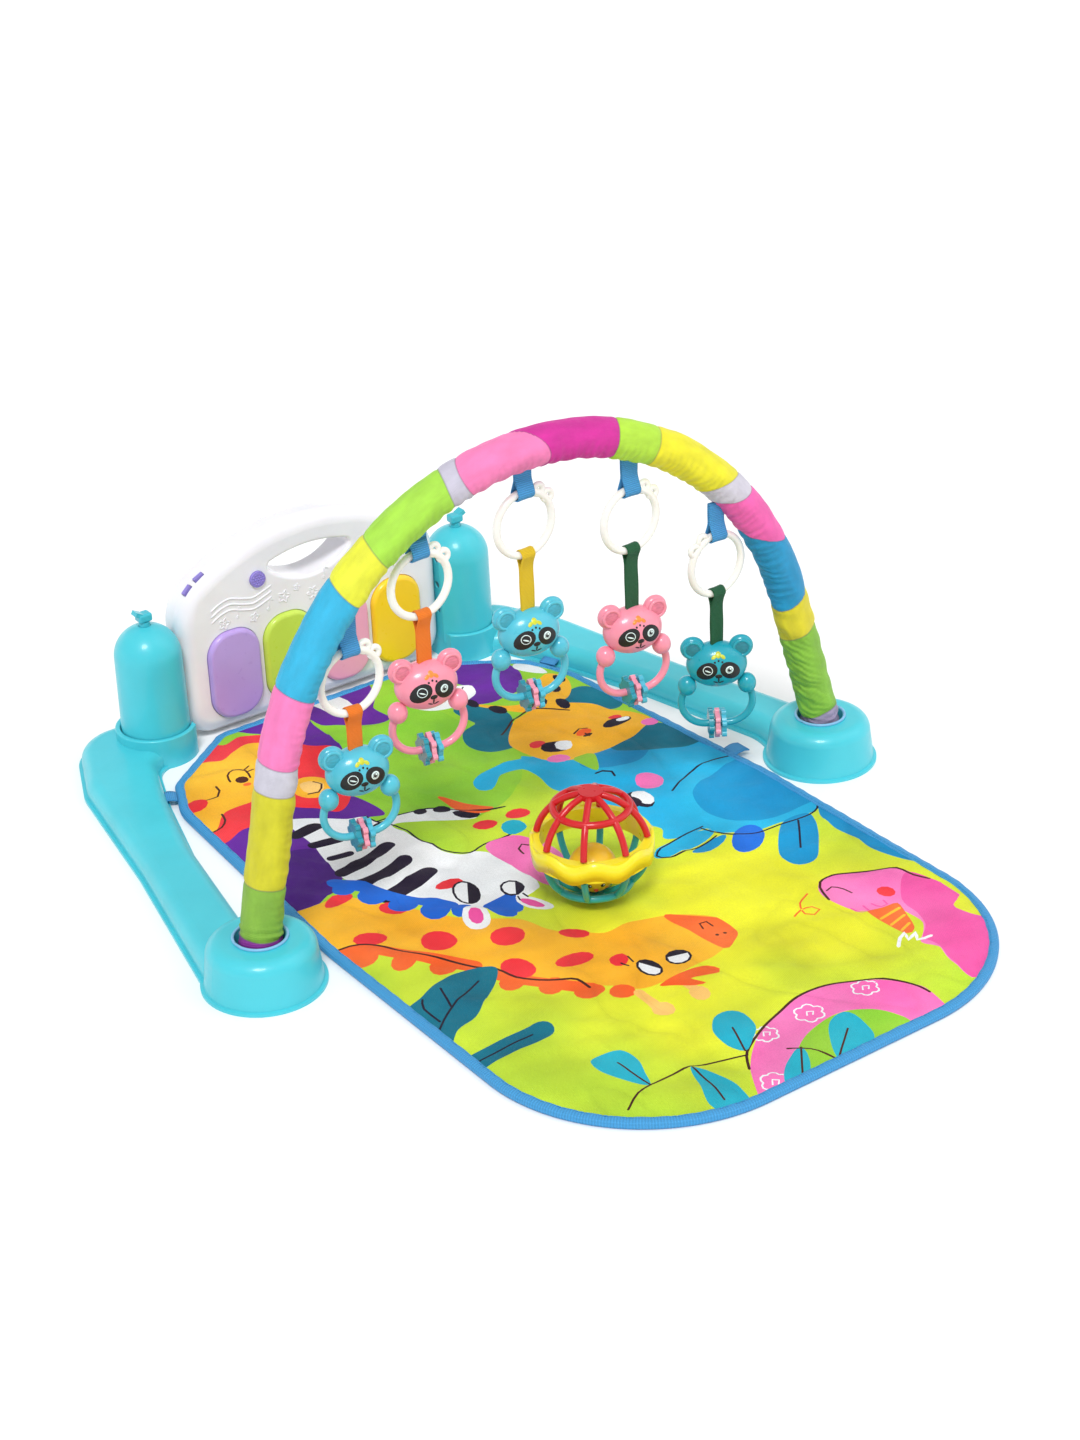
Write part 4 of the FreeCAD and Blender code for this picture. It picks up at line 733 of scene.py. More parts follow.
def build_binding():
    """Tape folded round the mat's edge, slightly puckered."""
    path = mat_outline(5.0, 4.6)
    points, run = [], []
    travelled = 0.0
    for i in range(len(path) + 1):
        p = path[i % len(path)]
        along = heading(path, i % len(path), closed=True)
        pucker = 0.3 * math.sin(math.tau * i / 3.5) + 0.5 * noise.noise(Vector((p.x / 30, p.y / 30, 2)))
        points += [(p.x + along.y * u, p.y - along.x * u, w + (pucker if w > 4 else 0)) for u, w in BINDING]
        run += [(travelled, u) for u, _ in BINDING]
        travelled += (path[(i + 1) % len(path)] - p).length
    tape = strap("binding_tape", "3a93cc", 0.0022, 0.04, 0.85)
    binding = make("mat_binding", points, skin(len(path) + 1, len(BINDING)), [tape], run=run)
    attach(binding, "base")


def build_stitches():
    """A row of short thread stitches along the inner edge of the binding."""
    path = mat_outline(4.6, 6.6)
    level = 6.7
    points, faces = [], []
    for i, p in enumerate(path):
        along = heading(path, i, closed=True)
        side = Vector((-along.y, along.x))
        start = len(points)
        for t, r in ((-1.5, 0.15), (-0.9, 0.42), (0.9, 0.42), (1.5, 0.15)):
            for a in circle(6):
                q = p + along * t + side * r * math.cos(a)
                points.append((q.x, q.y, level + r * math.sin(a)))
        faces += skin(4, 6, start)
        faces += [tuple(start + k for k in lid[::-1]) for lid in lids(4, 6)]
    thread = make("mat_stitching", points, faces, [inlay("thread", "2f8fc6", 0.7, 0.0)])
    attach(thread, "base")


# ---------------------------------------------------------------- sleeve over the arch

# The arch stands on its base height and leans back. Each leg bends inwards and runs into the round crown, and
# the sleeve reaches down into the sockets.
ARCH_BASE, ARCH_LEAN, FOOT_X = 38.0, math.radians(4), 285.0
LEG_LEAN, LEG_BEND, CROWN = math.radians(14), 60.0, 262.0
SOCKET_DEEP, SLEEVE_DEEP = 4.0, 6.0
BEND_X = FOOT_X - LEG_BEND * (1 - math.cos(LEG_LEAN))
BEND_Z = LEG_BEND * math.sin(LEG_LEAN) - SOCKET_DEEP
LEG_RUN = (BEND_X - CROWN * math.cos(LEG_LEAN)) / math.sin(LEG_LEAN)
CROWN_Z = BEND_Z + LEG_RUN * math.cos(LEG_LEAN) - CROWN * math.sin(LEG_LEAN)
SLEEVE_RADIUS, TURN_RADIUS, TUBE_HOLE, SLEEVE_SIDES = 17.3, 17.0, 12.0, 30

# Where each sewn colour of the sleeve ends, in mm from its left end, how far its seam slants to the back and
# to the outside, and its colour.
BLOCKS = [(12, 2, 0, "8a2b96"), (53, 1, 0, "7fae36"), (129, 2, 0, "cbc61b"), (151, 3, 0, "c4c2cf"),
          (206, 3, 0, "f07ab8"), (291, 6, 0, "27aed8"), (330, 6, 0, "e4e736"), (405, 6, 0, "a4dc42"),
          (424, 10, -4, "c3bfd0"), (482, -12, -6, "f27db6"), (566, 4, 0, "cf1f96"), (608, 4, 0, "b2e03a"),
          (690, 2, 10, "ebe31c"), (708, -4, 8, "cfcbd8"), (760, -8, 14, "ef5fae"), (832, -2, -6, "1190c2"),
          (868, 2, -2, "dcd024"), (952, 3, 0, "82ba36"), (970, 0, 0, "9a8fae")]
TWIST_FROM, ENDS = 800, (22, 948)


def arch_run(step):
    """Way along the sleeve from the left foot and its centreline in the arch's plane."""
    half = [(FOOT_X, -SLEEVE_DEEP)]
    for a in (LEG_LEAN * k / 8 for k in range(1, 9)):
        half.append((FOOT_X - LEG_BEND * (1 - math.cos(a)), LEG_BEND * math.sin(a) - SOCKET_DEEP))
    half.append((BEND_X - LEG_RUN * math.sin(LEG_LEAN), BEND_Z + LEG_RUN * math.cos(LEG_LEAN)))
    for a in (LEG_LEAN + (math.pi / 2 - LEG_LEAN) * k / 48 for k in range(1, 49)):
        half.append((CROWN * math.cos(a), CROWN_Z + CROWN * math.sin(a)))
    corners = np.array([(-x, z) for x, z in half] + half[-2::-1])
    travelled = np.concatenate([[0], np.cumsum(np.linalg.norm(np.diff(corners, axis=0), axis=1))])
    at = np.linspace(0, travelled[-1], int(travelled[-1] / step) + 1)
    return at, np.stack([np.interp(at, travelled, corners[:, k]) for k in range(2)], 1)


def in_arch(x, z, depth=0.0):
    """Point of (x, height) in the arch's leaning plane, depth towards the back."""
    return (x, ARCH_Y + z * math.sin(ARCH_LEAN) + depth * math.cos(ARCH_LEAN),
            ARCH_BASE + z * math.cos(ARCH_LEAN) - depth * math.sin(ARCH_LEAN))


def sleeve_radius(u, v):
    """Radius of the padded sleeve at u along it and v round it (0 outside, half a turn inside)."""
    inner = (1 - math.cos(v)) / 2
    relief = math.sin(u / 2.3 + 1.9 * math.sin(u / 13)) * inner**3 * 0.5 - 0.9
    relief += noise.noise(Vector((u / 34, math.cos(v) * 1.3, math.sin(v) * 1.3))) * 0.8
    relief += noise.noise(Vector((u / 11, math.cos(v) * 2.4 + 5, math.sin(v) * 2.4))) * 0.5
    if u > TWIST_FROM:
        relief += math.sin(u / 3.6 - v * 3.0) * 0.45 * min((u - TWIST_FROM) / 60, 1.0)
    if not ENDS[0] <= u <= ENDS[1]:
        relief += math.sin(u * 1.1 + 2 * math.sin(v)) * 0.8
    seam = min(abs(u - border - back * math.sin(v) - out_by * math.cos(v))
               for border, back, out_by, _ in BLOCKS)
    relief -= 0.9 * math.exp(-(seam / 1.6)**2) + 0.7 * math.exp(-((v - 2.2) / 0.08)**2)
    return SLEEVE_RADIUS + min(relief, 0.9)


def build_sleeve():
    """Padded sleeve with seams, gathers on its inner side and a hole for the tube at each end."""
    at, line = arch_run(2.0)
    last = len(at) - 1
    points, run = [], []
    for i in (0, *range(len(at)), last):
        along = line[min(i + 1, last)] - line[max(i - 1, 0)]
        along = along / np.linalg.norm(along)
        at_end = len(points) in (0, (last + 2) * SLEEVE_SIDES)
        for v in circle(SLEEVE_SIDES):
            radius = TUBE_HOLE if at_end else sleeve_radius(at[i], v)
            reach = radius * math.cos(v)
            points.append(in_arch(line[i][0] - along[1] * reach, line[i][1] + along[0] * reach,
                                  radius * math.sin(v)))
            run.append((at[i], v * TURN_RADIUS))
    sleeve = make("sleeve_padding", points, skin(last + 3, SLEEVE_SIDES), [sleeve_cloth()], run=run)
    close_turn(sleeve)
    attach(sleeve, "arch")
    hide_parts("arch_sleeve")


def close_turn(sleeve):
    """Let the run map reach a full turn on the faces that close the sleeve, not fall back to none."""
    spread = sleeve.data.uv_layers["run"].data
    full = math.tau * TURN_RADIUS * MM
    for face in sleeve.data.polygons:
        corners = [spread[i] for i in face.loop_indices]
        if max(corner.uv.y for corner in corners) > full / 2:
            for corner in corners:
                if corner.uv.y < full / 4:
                    corner.uv.y = full


def sleeve_cloth():
    """Brushed cloth in sewn blocks of colour, with slanted seams and pleats on its inner side; its colour
    carries painted light and shade in soft folds and along the pleats.
    """
    made = Finish("sleeve_cloth", 0.55, sheen=0.03).by_uv()
    along, round_by = made.axes(made.place)
    turn = made.maths("DIVIDE", round_by, TURN_RADIUS * MM)
    swing, sway = made.maths("SINE", turn), made.maths("COSINE", turn)
    tone, seam = rgb(BLOCKS[0][3]), 0.0
    for (border, back, out_by, _), (_, _, _, code) in zip(BLOCKS, BLOCKS[1:]):
        slant = made.plus(made.times(swing, back * MM), made.times(sway, out_by * MM))
        gap = made.minus(along, made.plus(slant, border * MM))
        tone = made.mix(made.maths("GREATER_THAN", gap, 0.0), tone, rgb(code))
        seam = made.maths("MAXIMUM", seam, made.maths("LESS_THAN", made.maths("ABSOLUTE", gap), 0.0007))
    bent = made.plus(along, made.times(made.noise(30.0), 0.02))
    bent = made.plus(bent, made.times(turn, made.ranged(along, 0.0, -0.011, 0.83, 0.87)))
    pleat = made.maths("SINE", made.maths("DIVIDE", bent, 0.00115))
    pleat = made.times(pleat, made.ranged(sway, 1.0, 0.0, -0.9, 0.25))
    # painted light and shade: the block colour is made darker and lighter by soft folds and along the pleats
    fold = made.ranged(made.noise(40.0, 3.0, (1, 2.2, 1)), 0.86, 1.08, *MIDDLE)
    lit = made.scaled(tone, made.plus(fold, made.times(pleat, 0.05)))
    made.colour(made.mix(made.times(seam, 0.35), lit, rgb("5a4a60")))
    made.rough(made.ranged(made.noise(200.0), 0.48, 0.7))
    wrinkle = made.times(made.noise(55.0, 3.0, (1, 0.35, 1)), 5.0)
    wrinkle = made.plus(wrinkle, made.times(pleat, 0.9))
    return made.bump(made.plus(weave(made, 0.0011, 0.3), wrinkle), 0.0005, 0.8).material


# ---------------------------------------------------------------- straps that hold the rattles

# Place across the arch, how far the ring's upper bar hangs under the sleeve, bare length of the ribbon, turn
# in degrees, slot of the ribbon and colour of the head.
Rattle = namedtuple("Rattle", "x drop ribbon turn look tone")
RATTLES = {1: Rattle(-177.0, 24.0, 31.0, -12.0, "ribbon_orange", "aqua"),
           2: Rattle(-107.0, 15.0, 39.0, -12.0, "ribbon_orange", "pink"),
           3: Rattle(-6.0, 18.0, 47.0, -12.0, "ribbon_mustard", "aqua"),
           4: Rattle(97.0, 24.0, 51.0, -12.0, "ribbon_green", "pink"),
           5: Rattle(183.0, 26.0, 46.0, -33.0, "ribbon_green", "teal")}
RIBBONS = {"ribbon_orange": strap("orange_ribbon", "ff7d12", 0.0011, 0.02, 0.85),
           "ribbon_mustard": strap("mustard_ribbon", "e8c414", 0.0011, 0.02, 0.85),
           "ribbon_green": strap("green_ribbon", "0b5a34", 0.0011, 0.02, 0.8)}
LINK_SPAN, HEAD_DROP = 53.0, 20.5
LOOP_WIDTH, RIBBON_WIDTH = 16, 13


def hang(number):
    """Heights and y of one rattle: its link's upper and lower bar and the centre of its head."""
    toy = RATTLES[number]
    level = CROWN_Z + math.sqrt(CROWN**2 - toy.x**2)
    under = ARCH_BASE + level * math.cos(ARCH_LEAN) - SLEEVE_RADIUS / math.cos(math.asin(toy.x / CROWN))
    low = under - toy.drop - LINK_SPAN
    return {"y": ARCH_Y + level * math.sin(ARCH_LEAN), "bar": under - toy.drop, "low": low,
            "head": low - toy.ribbon - HEAD_DROP}


def hairpin(y, bar, reach, sign, fold, gap):
    """Folded strap in the (y, z) plane: round a bar and away from it, up or down, its two layers together."""
    left = [(y - gap, bar + sign * reach), (y - gap, bar + sign * reach * 0.6),
            (y - gap * 1.2, bar + sign * 11)]
    arc = [(y + fold * math.cos(a), bar - sign * fold * math.sin(a))
           for a in (math.pi - math.pi * k / 8 for k in range(9))]
    right = [(2 * y - p[0], p[1]) for p in left[::-1]]
    return spline(left + arc + right, 2.5, closed=False)


def band(name, profile, x, width, thickness, material):
    """Strap of one width along (y, z) points, with slightly curled edges, and its length."""
    path = [Vector(p) for p in profile]
    across = [-0.5, -0.44, -0.2, 0.0, 0.2, 0.44, 0.5]
    points, run = [], []
    travelled = 0.0
    for i, p in enumerate(path):
        along = heading(path, i)
        out = Vector((along.y, -along.x))
        travelled += (p - path[max(i - 1, 0)]).length
        for sign, w in [(1, w) for w in across] + [(-1, w) for w in across[::-1]]:
            thin = 0.35 if abs(w) == 0.5 else 1.0
            ripple = 0.25 * math.sin(travelled / 7 + w * 4)
            q = p + out * (sign * thickness / 2 * thin + ripple)
            points.append((x + w * width, q.x, q.y))
            run.append((travelled, w * width))
    sides = 2 * len(across)
    faces = other_side(skin(len(path), sides)) + lids(len(path), sides)
    return make(name, points, faces, [material], run=run), travelled


def build_loop(number):
    """Blue webbing sewn to the sleeve and folded round the link's upper bar."""
    toy = RATTLES[number]
    low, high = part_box(f"link_ring_{number}")
    profile = hairpin((low.y + high.y) / 2 / MM, hang(number)["bar"], toy.drop + 3.5, 1, 5.4, 1.0)
    strip, length = band(f"loop_strap_{number}", profile, toy.x, LOOP_WIDTH, 1.4, BLUE_STRAP)
    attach(strip, "arch")
    if number == 1:
        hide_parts("arch_loops")


def build_ribbon(number):
    """Ribbon folded round the link's lower bar and sewn into the head."""
    toy = RATTLES[number]
    low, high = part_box(f"link_ring_{number}")
    at = hang(number)
    profile = hairpin((low.y + high.y) / 2 / MM, at["low"], at["low"] - at["head"] - 18.5, -1, 4.8, 0.8)
    strip, length = band(f"ribbon_strap_{number}", profile, toy.x, RIBBON_WIDTH, 0.9, RIBBONS[toy.look])
    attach(strip, f"rattle_{number}")
    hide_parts(f"ribbon_{number}")


# Webbing tabs between the mat's binding and the floor arms: x, y, angle in degrees and length.
TABS = {1: (222.0, 17.5, 0.0, 16.0), 2: (199.5, 261.5, 23.5, 14.0)}


def build_tab(side, number):
    """One slightly arched tab, on the left for side -1 and on the right for side 1."""
    x0, y0, angle, reach = TABS[number]
    cos, sin = math.cos(math.radians(angle)), math.sin(math.radians(angle))
    across = (-8, -4, 0, 4, 8)
    points, run = [], []
    for i in range(9):
        t = reach * i / 8
        rise = 6.2 + 1.6 * math.sin(math.pi * i / 8)
        for sign, w in [(1, w) for w in across] + [(-1, w) for w in across[::-1]]:
            points.append((side * (x0 + t * cos - w * sin), y0 + t * sin + w * cos, rise + sign * 0.7))
            run.append((t, w))
    faces = other_side(skin(9, 10)) + lids(9, 10)
    if side < 0:
        faces = [face[::-1] for face in faces]
    tab = make(f"mat_tab_{'left' if side < 0 else 'right'}_{number}", points, faces, [BLUE_STRAP], run=run)
    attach(tab, "base")
    if side < 0 and number == 1:
        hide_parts("mat_tabs")


# ---------------------------------------------------------------- heads and discs of the rattles

HEAD = (26.0, 17.0, 20.5)
EAR_X, EAR_Y, EAR_Z = 20.8, -4.9, 15.8
TONES = {"aqua": ("4fb9cf", "3aa3bb"), "pink": ("ee8fa4", "d9748c"), "teal": ("1e9fb2", "157f92")}
HEADS = {tone: plastic("rattle_" + tone, head, 0.3, 0.4) for tone, (head, _) in TONES.items()}
EARS = {tone: inlay("ear_" + tone, ear) for tone, (_, ear) in TONES.items()}

# Printed marks of the face: ink, x, z, half width, half height, turn in degrees, height over the shell and
# share that is left hollow.
DARK, PALE, TUFT = 0, 1, 2
FACE_MARKS = [
    (DARK, -9.8, 0.0, 9.6, 7.2, 38, 0.45, 0), (DARK, 9.8, 0.0, 9.6, 7.2, -38, 0.45, 0),
    (PALE, 9.2, 1.2, 4.4, 4.4, 0, 0.62, 0), (DARK, 9.2, 1.2, 3.3, 3.3, 0, 0.72, 0),
    (PALE, 9.2, 1.2, 2.3, 2.3, 0, 0.82, 0.62), (PALE, 9.9, 2.0, 1.0, 1.0, 0, 0.9, 0),
    (PALE, -9.2, 1.2, 4.4, 4.4, 0, 0.62, 0.76), (PALE, -9.2, 0.6, 3.4, 0.8, -18, 0.64, 0),
    (DARK, 0.0, -4.2, 3.1, 2.1, 0, 0.8, 0), (DARK, 0.0, -8.2, 0.7, 3.0, 0, 0.45, 0),
    (DARK, -2.4, -10.6, 2.4, 0.7, -24, 0.45, 0), (DARK, 2.4, -10.6, 2.4, 0.7, 24, 0.45, 0),
    (TUFT, 0.0, 14.0, 2.4, 2.4, 0, 0.45, 0), (TUFT, -3.8, 12.4, 2.4, 1.4, 35, 0.45, 0),
    (TUFT, 3.8, 12.4, 2.4, 1.4, -35, 0.45, 0), (DARK, -3.2, 8.4, 0.9, 0.9, 0, 0.45, 0),
    (DARK, 0.0, 9.6, 0.9, 0.9, 0, 0.45, 0), (DARK, 3.2, 8.4, 0.9, 0.9, 0, 0.45, 0)]


def on_head(x, z, lift):
    """Point of the head's front, lifted off it, from the head's centre."""
    a, b, c = (r + lift for r in HEAD)
    left = max(1 - (x / a)**2 - (z / c)**2, 0.0)
    return Vector((x, -b * math.sqrt(left), z))


def head_place(number):
    """Where a rattle's head sits and how it is turned."""
    toy, at = RATTLES[number], hang(number)
    return Matrix.Translation((toy.x, at["y"], at["head"])) @ Matrix.Rotation(math.radians(toy.turn), 4, "Z")


def patch(x, z, across, high, turn, lift, hollow):
    """Rings of a rounded patch that lies on the head, its rim sunk into the shell."""
    sides = 20 if across > 1.5 else 10
    points = []
    for ring in range(4):
        share = hollow + (1 - hollow) * ring / 3
        sunk = ring == 3 or (ring == 0 and hollow)
        points += [on_head(u, v, 0.1 if sunk else lift)
                   for u, v in oval(x, z, across * share, high * share, turn, sides)]
    return points, skin(4, sides)


def build_face(number):
    """Printed eye patches, eyes, nose, mouth and tuft of one head."""
    place = head_place(number)
    points, faces, marks = [], [], []
    for mark, *sizes in FACE_MARKS:
        more, quads = patch(*sizes)
        faces += [tuple(len(points) + i for i in quad) for quad in quads]
        points += [place @ p for p in more]
        marks += [mark] * len(quads)
    tuft = ORANGE_INK if number in (2, 4) else GOLD_INK
    face = make(f"rattle_print_{number}", points, faces, [BLACK_INK, WHITE_INK, tuft], marks)
    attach(face, f"rattle_{number}")


def build_ears(number):
    """Rim and hollow dish in front of both ears of one head."""
    place, tone = head_place(number), RATTLES[number].tone

    def on_ear(side, radius, a, depth):
        return place @ Vector((side * EAR_X + radius * math.cos(a), depth, EAR_Z + radius * math.sin(a)))

    parts = []
    for side in (-1, 1):
        rim = [on_ear(side, 7.0, a, EAR_Y) for a in circle(28)]
        parts.append(bead(rim, 1.5, HEADS[tone], "ear", closed=True))
        dish = [on_ear(side, 6.4 * share, a, EAR_Y - 1.25 + 0.75 * share**2)
                for share in (0.1, 0.4, 0.7, 1.0) for a in circle(18)]
        parts.append(make("dish", dish, skin(4, 18) + [tuple(range(18))], [EARS[tone]]))
    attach(joined(f"ear_dishes_{number}", parts), f"rattle_{number}")


def disc_plastic(number):
    """Three discs side by side in three colours, told apart by their place along the bar."""
    toy = RATTLES[number]
    made = Finish(f"discs_{number}", 0.3, 0.35)
    spread = made.add("ShaderNodeMapping", {
        "Vector": made.place, "Location": (toy.x * MM, hang(number)["y"] * MM, 0),
        "Rotation": (0, 0, math.radians(toy.turn))}, vector_type="TEXTURE")
    along, _ = made.axes(spread.outputs[0])
    tone = made.mix(made.maths("GREATER_THAN", along, -0.0027), rgb("1f8fa3"), rgb("ee9ab0"))
    tone = made.mix(made.maths("GREATER_THAN", along, 0.0027), tone, rgb("47b3cd"))
    made.colour(made.scaled(tone, made.ranged(made.noise(60.0), 0.9, 1.08, *MIDDLE)))
    made.rough(made.ranged(made.noise(200.0), 0.22, 0.38))
    return made.bump(made.noise(700.0), 0.00006).material


# ---------------------------------------------------------------- piano, ball and sockets

# Moulded pictures of the piano's face: flowers as x, z, size and petals, and the notes' heads as x, z.
FLOWERS = [(-93, 109, 6.0, 5), (-62, 106, 5.0, 5), (-30, 117, 6.5, 5), (0, 112, 6.5, 6), (30, 118, 6.0, 5),
           (62, 110, 6.5, 6), (88, 118, 6.5, 5), (-16, 122, 3.6, 5), (46, 124, 3.6, 5)]
NOTES = [(-78, 112), (-46, 110), (14, 124), (76, 124)]


def build_piano_relief():
    """Raised staves, flowers and notes moulded into the piano's face."""
    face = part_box("piano_front_shell")[0].y / MM
    beads = []

    def line(points, radius, closed=False):
        path = [(x, face + 0.25, z) for x, z in spline(points, 2.2, closed=closed)]
        beads.append(bead(path, radius, WHITE, "relief", closed=closed))

    for rise in (117 + row * 5.6 for row in range(3)):
        line([(-106, rise - 4), (-97, rise + 1), (-86, rise + 3.5), (-74, rise), (-62, rise - 2.5),
              (-50, rise + 1), (-42, rise + 4)], 1.1)
    for x, z, size, petals in FLOWERS:
        reaches = [(a, size * (0.72 + 0.28 * math.cos(petals * a))) for a in circle(petals * 4)]
        line([(x + reach * math.cos(a), z + reach * math.sin(a)) for a, reach in reaches], 0.85, closed=True)
        line([(x + 1.4, z), (x, z + 1.4), (x - 1.4, z), (x, z - 1.4)], 0.8, closed=True)
    for x, z in NOTES:
        head = [(x - 2.4, z - 0.4), (x - 0.6, z + 1.2), (x + 0.4, z - 0.6), (x - 1.2, z - 1.8)]
        line([(x, z), (x + 0.6, z + 9), (x + 4.5, z + 6.5)], 0.8)
        line(head, 0.8, closed=True)
    relief = joined("piano_relief", beads)
    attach(relief, "piano")


def build_button_knurl():
    """Small bumps over the round play button."""
    low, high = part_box("play_button")
    middle = (low + high) / 2 / MM
    dots = []
    for reach, count in ((0.0, 1), (2.6, 6), (5.2, 12)):
        for a in circle(count):
            at = Vector((middle.x + reach * math.cos(a), low.y / MM, middle.z + reach * math.sin(a)))
            points = [at + Vector((r * math.cos(b), depth, r * math.sin(b)))
                      for depth, r in ((0.4, 1.15), (-0.25, 0.95), (-0.6, 0.5)) for b in circle(8)]
            dots.append(make("dot", points, skin(3, 8) + [tuple(range(16, 24))[::-1]], [PURPLE]))
    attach(joined("play_button_knurl", dots), "play_button")


def build_band_wave():
    """Wavy edges of the ball's yellow band."""
    low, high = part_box("ball_band")
    centre = (low + high) / 2 / MM
    radius, half = (high.x - low.x) / 2 / MM, (high.z - low.z) / 2 / MM
    rings = []
    for a in circle(96):
        wave = 2.6 * math.sin(8 * a)
        top, bottom = half - 0.8 + wave, 0.8 - half + wave
        section = ((radius - 2.4, bottom), (radius + 0.4, bottom - 1.0), (radius + 0.9, (top + bottom) / 2),
                   (radius + 0.4, top + 1.0), (radius - 2.4, top))
        rings.append([(centre.x + r * math.cos(a), centre.y + r * math.sin(a), centre.z + h)
                      for r, h in section])
    trim = tube("ball_band_wave", rings, [nodes["ball_band"].data.materials[0]], closed=True)
    trim.data.flip_normals()
    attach(trim, "ball")


# Marks of the chick's face: right, up, radius, ink and height over the chick.
CHICK_MARKS = [(-5, -7, 2.4, BLACK_INK, 0.3), (6, -7, 2.4, BLACK_INK, 0.3),
               (-4.3, -6.3, 0.8, WHITE_INK, 0.6), (6.7, -6.3, 0.8, WHITE_INK, 0.6),
               (0.5, -12, 2.2, RED_INK, 1.2), (-8.5, -12, 2.0, RED_INK, 0.25), (9.5, -12, 2.0, RED_INK, 0.25)]


def build_chick_face():
    """Eyes, beak and cheeks of the chick in the ball."""
    low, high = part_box("ball_chick")
    middle = (low + high) / 2 / MM
    radius = (high.x - low.x) / 2 / MM
    view = Matrix.Rotation(math.radians(-30), 4, "Z")
    parts = []
    for right, up, size, ink, lift in CHICK_MARKS:
        points = []
        for ring in range(4):
            reach = radius + (lift if ring < 3 else -0.3)
            for u, v in oval(right, up, size * ring / 3, size * ring / 3, 0.0, 12):
                points.append(middle + view @ Vector((u, -math.sqrt(reach**2 - u * u - v * v), v)))
        parts.append(make("spot", points, skin(4, 12), [ink]))
    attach(joined("chick_face", parts), "ball_chick")


def build_socket_rim(side):
    """Soft rim round one socket of the arch."""
    ring = [(side * FOOT_X + 21.3 * math.cos(a), ARCH_Y + 21.3 * math.sin(a), 42.4) for a in circle(48)]
    rim = bead(ring, 1.25, AQUA_LIP, f"socket_rim_{'left' if side < 0 else 'right'}", closed=True)
    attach(rim, "base")


# ---------------------------------------------------------------- materials of the CAD nodes

LOOKS = {
    "base_arm_": AQUA, "tower_outer_": AQUA, "tower_cover_": AQUA,
    "tower_latch_": plastic("aqua_latch", "3ab7c9", 0.34),
    "tower_screws": metal("cover_screws", "9b9fa6"), "piano_screws": metal("case_screws", "9b9fa6"),
    "arch_tube_": plastic("tube", "d8dadb", 0.4, 0.1),
    "piano_front_shell": WHITE, "piano_rear_shell": WHITE, "battery_door": WHITE,
    "piano_key_1": plastic("key_lavender", "b79bdf", 0.3), "piano_key_2": plastic("key_lime", "c2dd52", 0.3),
    "piano_key_3": plastic("key_pink", "f2a6c4", 0.3), "piano_key_4": plastic("key_yellow", "ffcf24", 0.3),
    "play_button": PURPLE, "volume_": PURPLE,
    "circuit_board": inlay("board", "1e6b3c"),
    "key_contact_mat": plastic("contact_rubber", "8f8f92", 0.6, 0.0),
    "speaker": metal("speaker_basket", "4a4b50"), "batteries": metal("cells", "b58a3c"),
    "ball_upper_cage": plastic("ball_red", "c9141f", 0.3),
    "ball_lower_cage": plastic("ball_teal", "1f9fa4", 0.3),
    "ball_band": plastic("ball_yellow", "f1e42c", 0.3), "ball_chick": plastic("chick_yellow", "f4c62a", 0.35),
    "link_ring_": IVORY,
}


def dress_nodes():
    """Give every CAD node that shows its material."""
    looks = dict(LOOKS)
    for number, toy in RATTLES.items():
        looks[f"rattle_face_{number}"] = looks[f"rattle_back_{number}"] = HEADS[toy.tone]
        looks[f"rattle_discs_{number}"] = disc_plastic(number)
    for name, node in nodes.items():
        found = [look for start, look in looks.items() if name.startswith(start)]
        if found:
            node.data.materials.clear()
            node.data.materials.append(found[0])


# ---------------------------------------------------------------- room, light and camera

# Bowl of the floor as reach and rise, and each sun as its aim, angle and power.
FLOOR = [(5000, 0), (8000, 0), (9500, 250), (10500, 900), (11200, 2000), (11600, 3600)]
SUNS = {"key": ((0.45, 0.55, -1.0), 0.3, 2.0), "fill": ((-0.8, 0.5, -0.9), 0.9, 0.45)}
SKY_POWER = 0.6


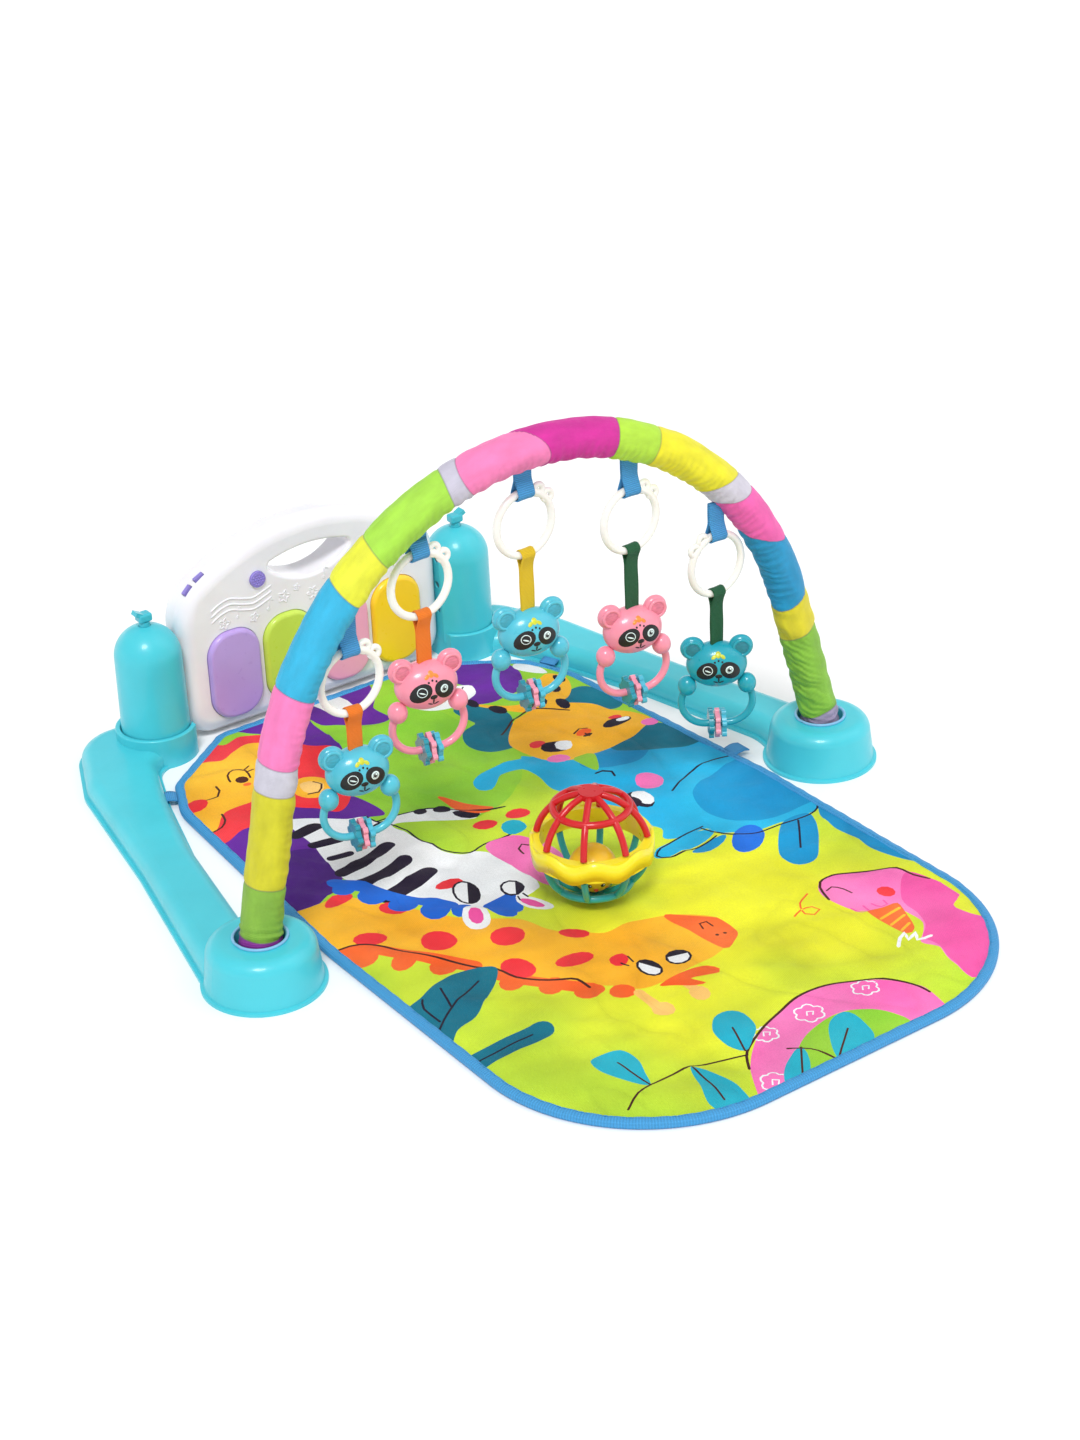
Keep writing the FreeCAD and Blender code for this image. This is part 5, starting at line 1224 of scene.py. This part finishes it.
def build_room():
    """Pale floor that curves up far away all round, an even white sky and two soft suns."""
    sides = 64
    points = [(reach * math.cos(a), reach * math.sin(a), rise)
              for reach, rise in FLOOR for a in circle(sides)]
    faces = [tuple(range(sides))] + skin(len(FLOOR), sides)
    make("floor", points, faces, [floor_paint()])
    world = bpy.data.worlds.new("studio")
    bpy.context.scene.world = world
    world.use_nodes = True
    sky = world.node_tree.nodes["Background"]
    sky.inputs[0].default_value = (1.0, 1.0, 1.0, 1.0)
    sky.inputs[1].default_value = SKY_POWER
    for name, (aim, angle, power) in SUNS.items():
        light = bpy.data.lights.new(name, "SUN")
        light.energy = power
        light.angle = angle
        lamp = bpy.data.objects.new(name, light)
        lamp.rotation_euler = Vector(aim).to_track_quat("-Z", "Y").to_euler()
        bpy.context.scene.collection.objects.link(lamp)


def floor_paint():
    """Nearly white, slightly uneven paint."""
    made = Finish("floor_paint", 0.6)
    made.colour(made.mix(made.noise(3.0), rgb("f4f4f4"), rgb("fafafa")))
    return made.rough(made.ranged(made.noise(8.0), 0.55, 0.7)).material


CAMERA_AT = (-1.1122, -1.6077, 1.1573)
AZIMUTH, ELEVATION, ROLL = math.radians(-34.84), math.radians(27.99), math.radians(-2.31)


def build_camera():
    """Camera that looks down over the left front corner of the mat."""
    back = Vector((math.sin(AZIMUTH) * math.cos(ELEVATION), -math.cos(AZIMUTH) * math.cos(ELEVATION),
                   math.sin(ELEVATION)))
    right = Vector((math.cos(AZIMUTH), math.sin(AZIMUTH), 0))
    up = back.cross(right)
    side = right * math.cos(ROLL) + up * math.sin(ROLL)
    top = up * math.cos(ROLL) - right * math.sin(ROLL)
    data = bpy.data.cameras.new("camera")
    data.sensor_fit = "VERTICAL"
    data.sensor_height = 36
    data.lens = 67.6
    data.shift_y = 0.0018
    camera = bpy.data.objects.new("camera", data)
    stand = Matrix((side, top, back)).transposed().to_4x4()
    stand.translation = CAMERA_AT
    camera.matrix_world = stand
    bpy.context.scene.collection.objects.link(camera)
    bpy.context.scene.camera = camera


bpy.context.scene.view_settings.view_transform = "Standard"
dress_nodes()
build_room()
build_camera()
build_mat()
build_binding()
build_stitches()
build_sleeve()
for number in RATTLES:
    build_loop(number)
    build_ribbon(number)
for side in (-1, 1):
    for number in TABS:
        build_tab(side, number)
for number in RATTLES:
    build_face(number)
    build_ears(number)
build_piano_relief()
build_button_knurl()
build_band_wave()
build_chick_face()
for side in (-1, 1):
    build_socket_rim(side)
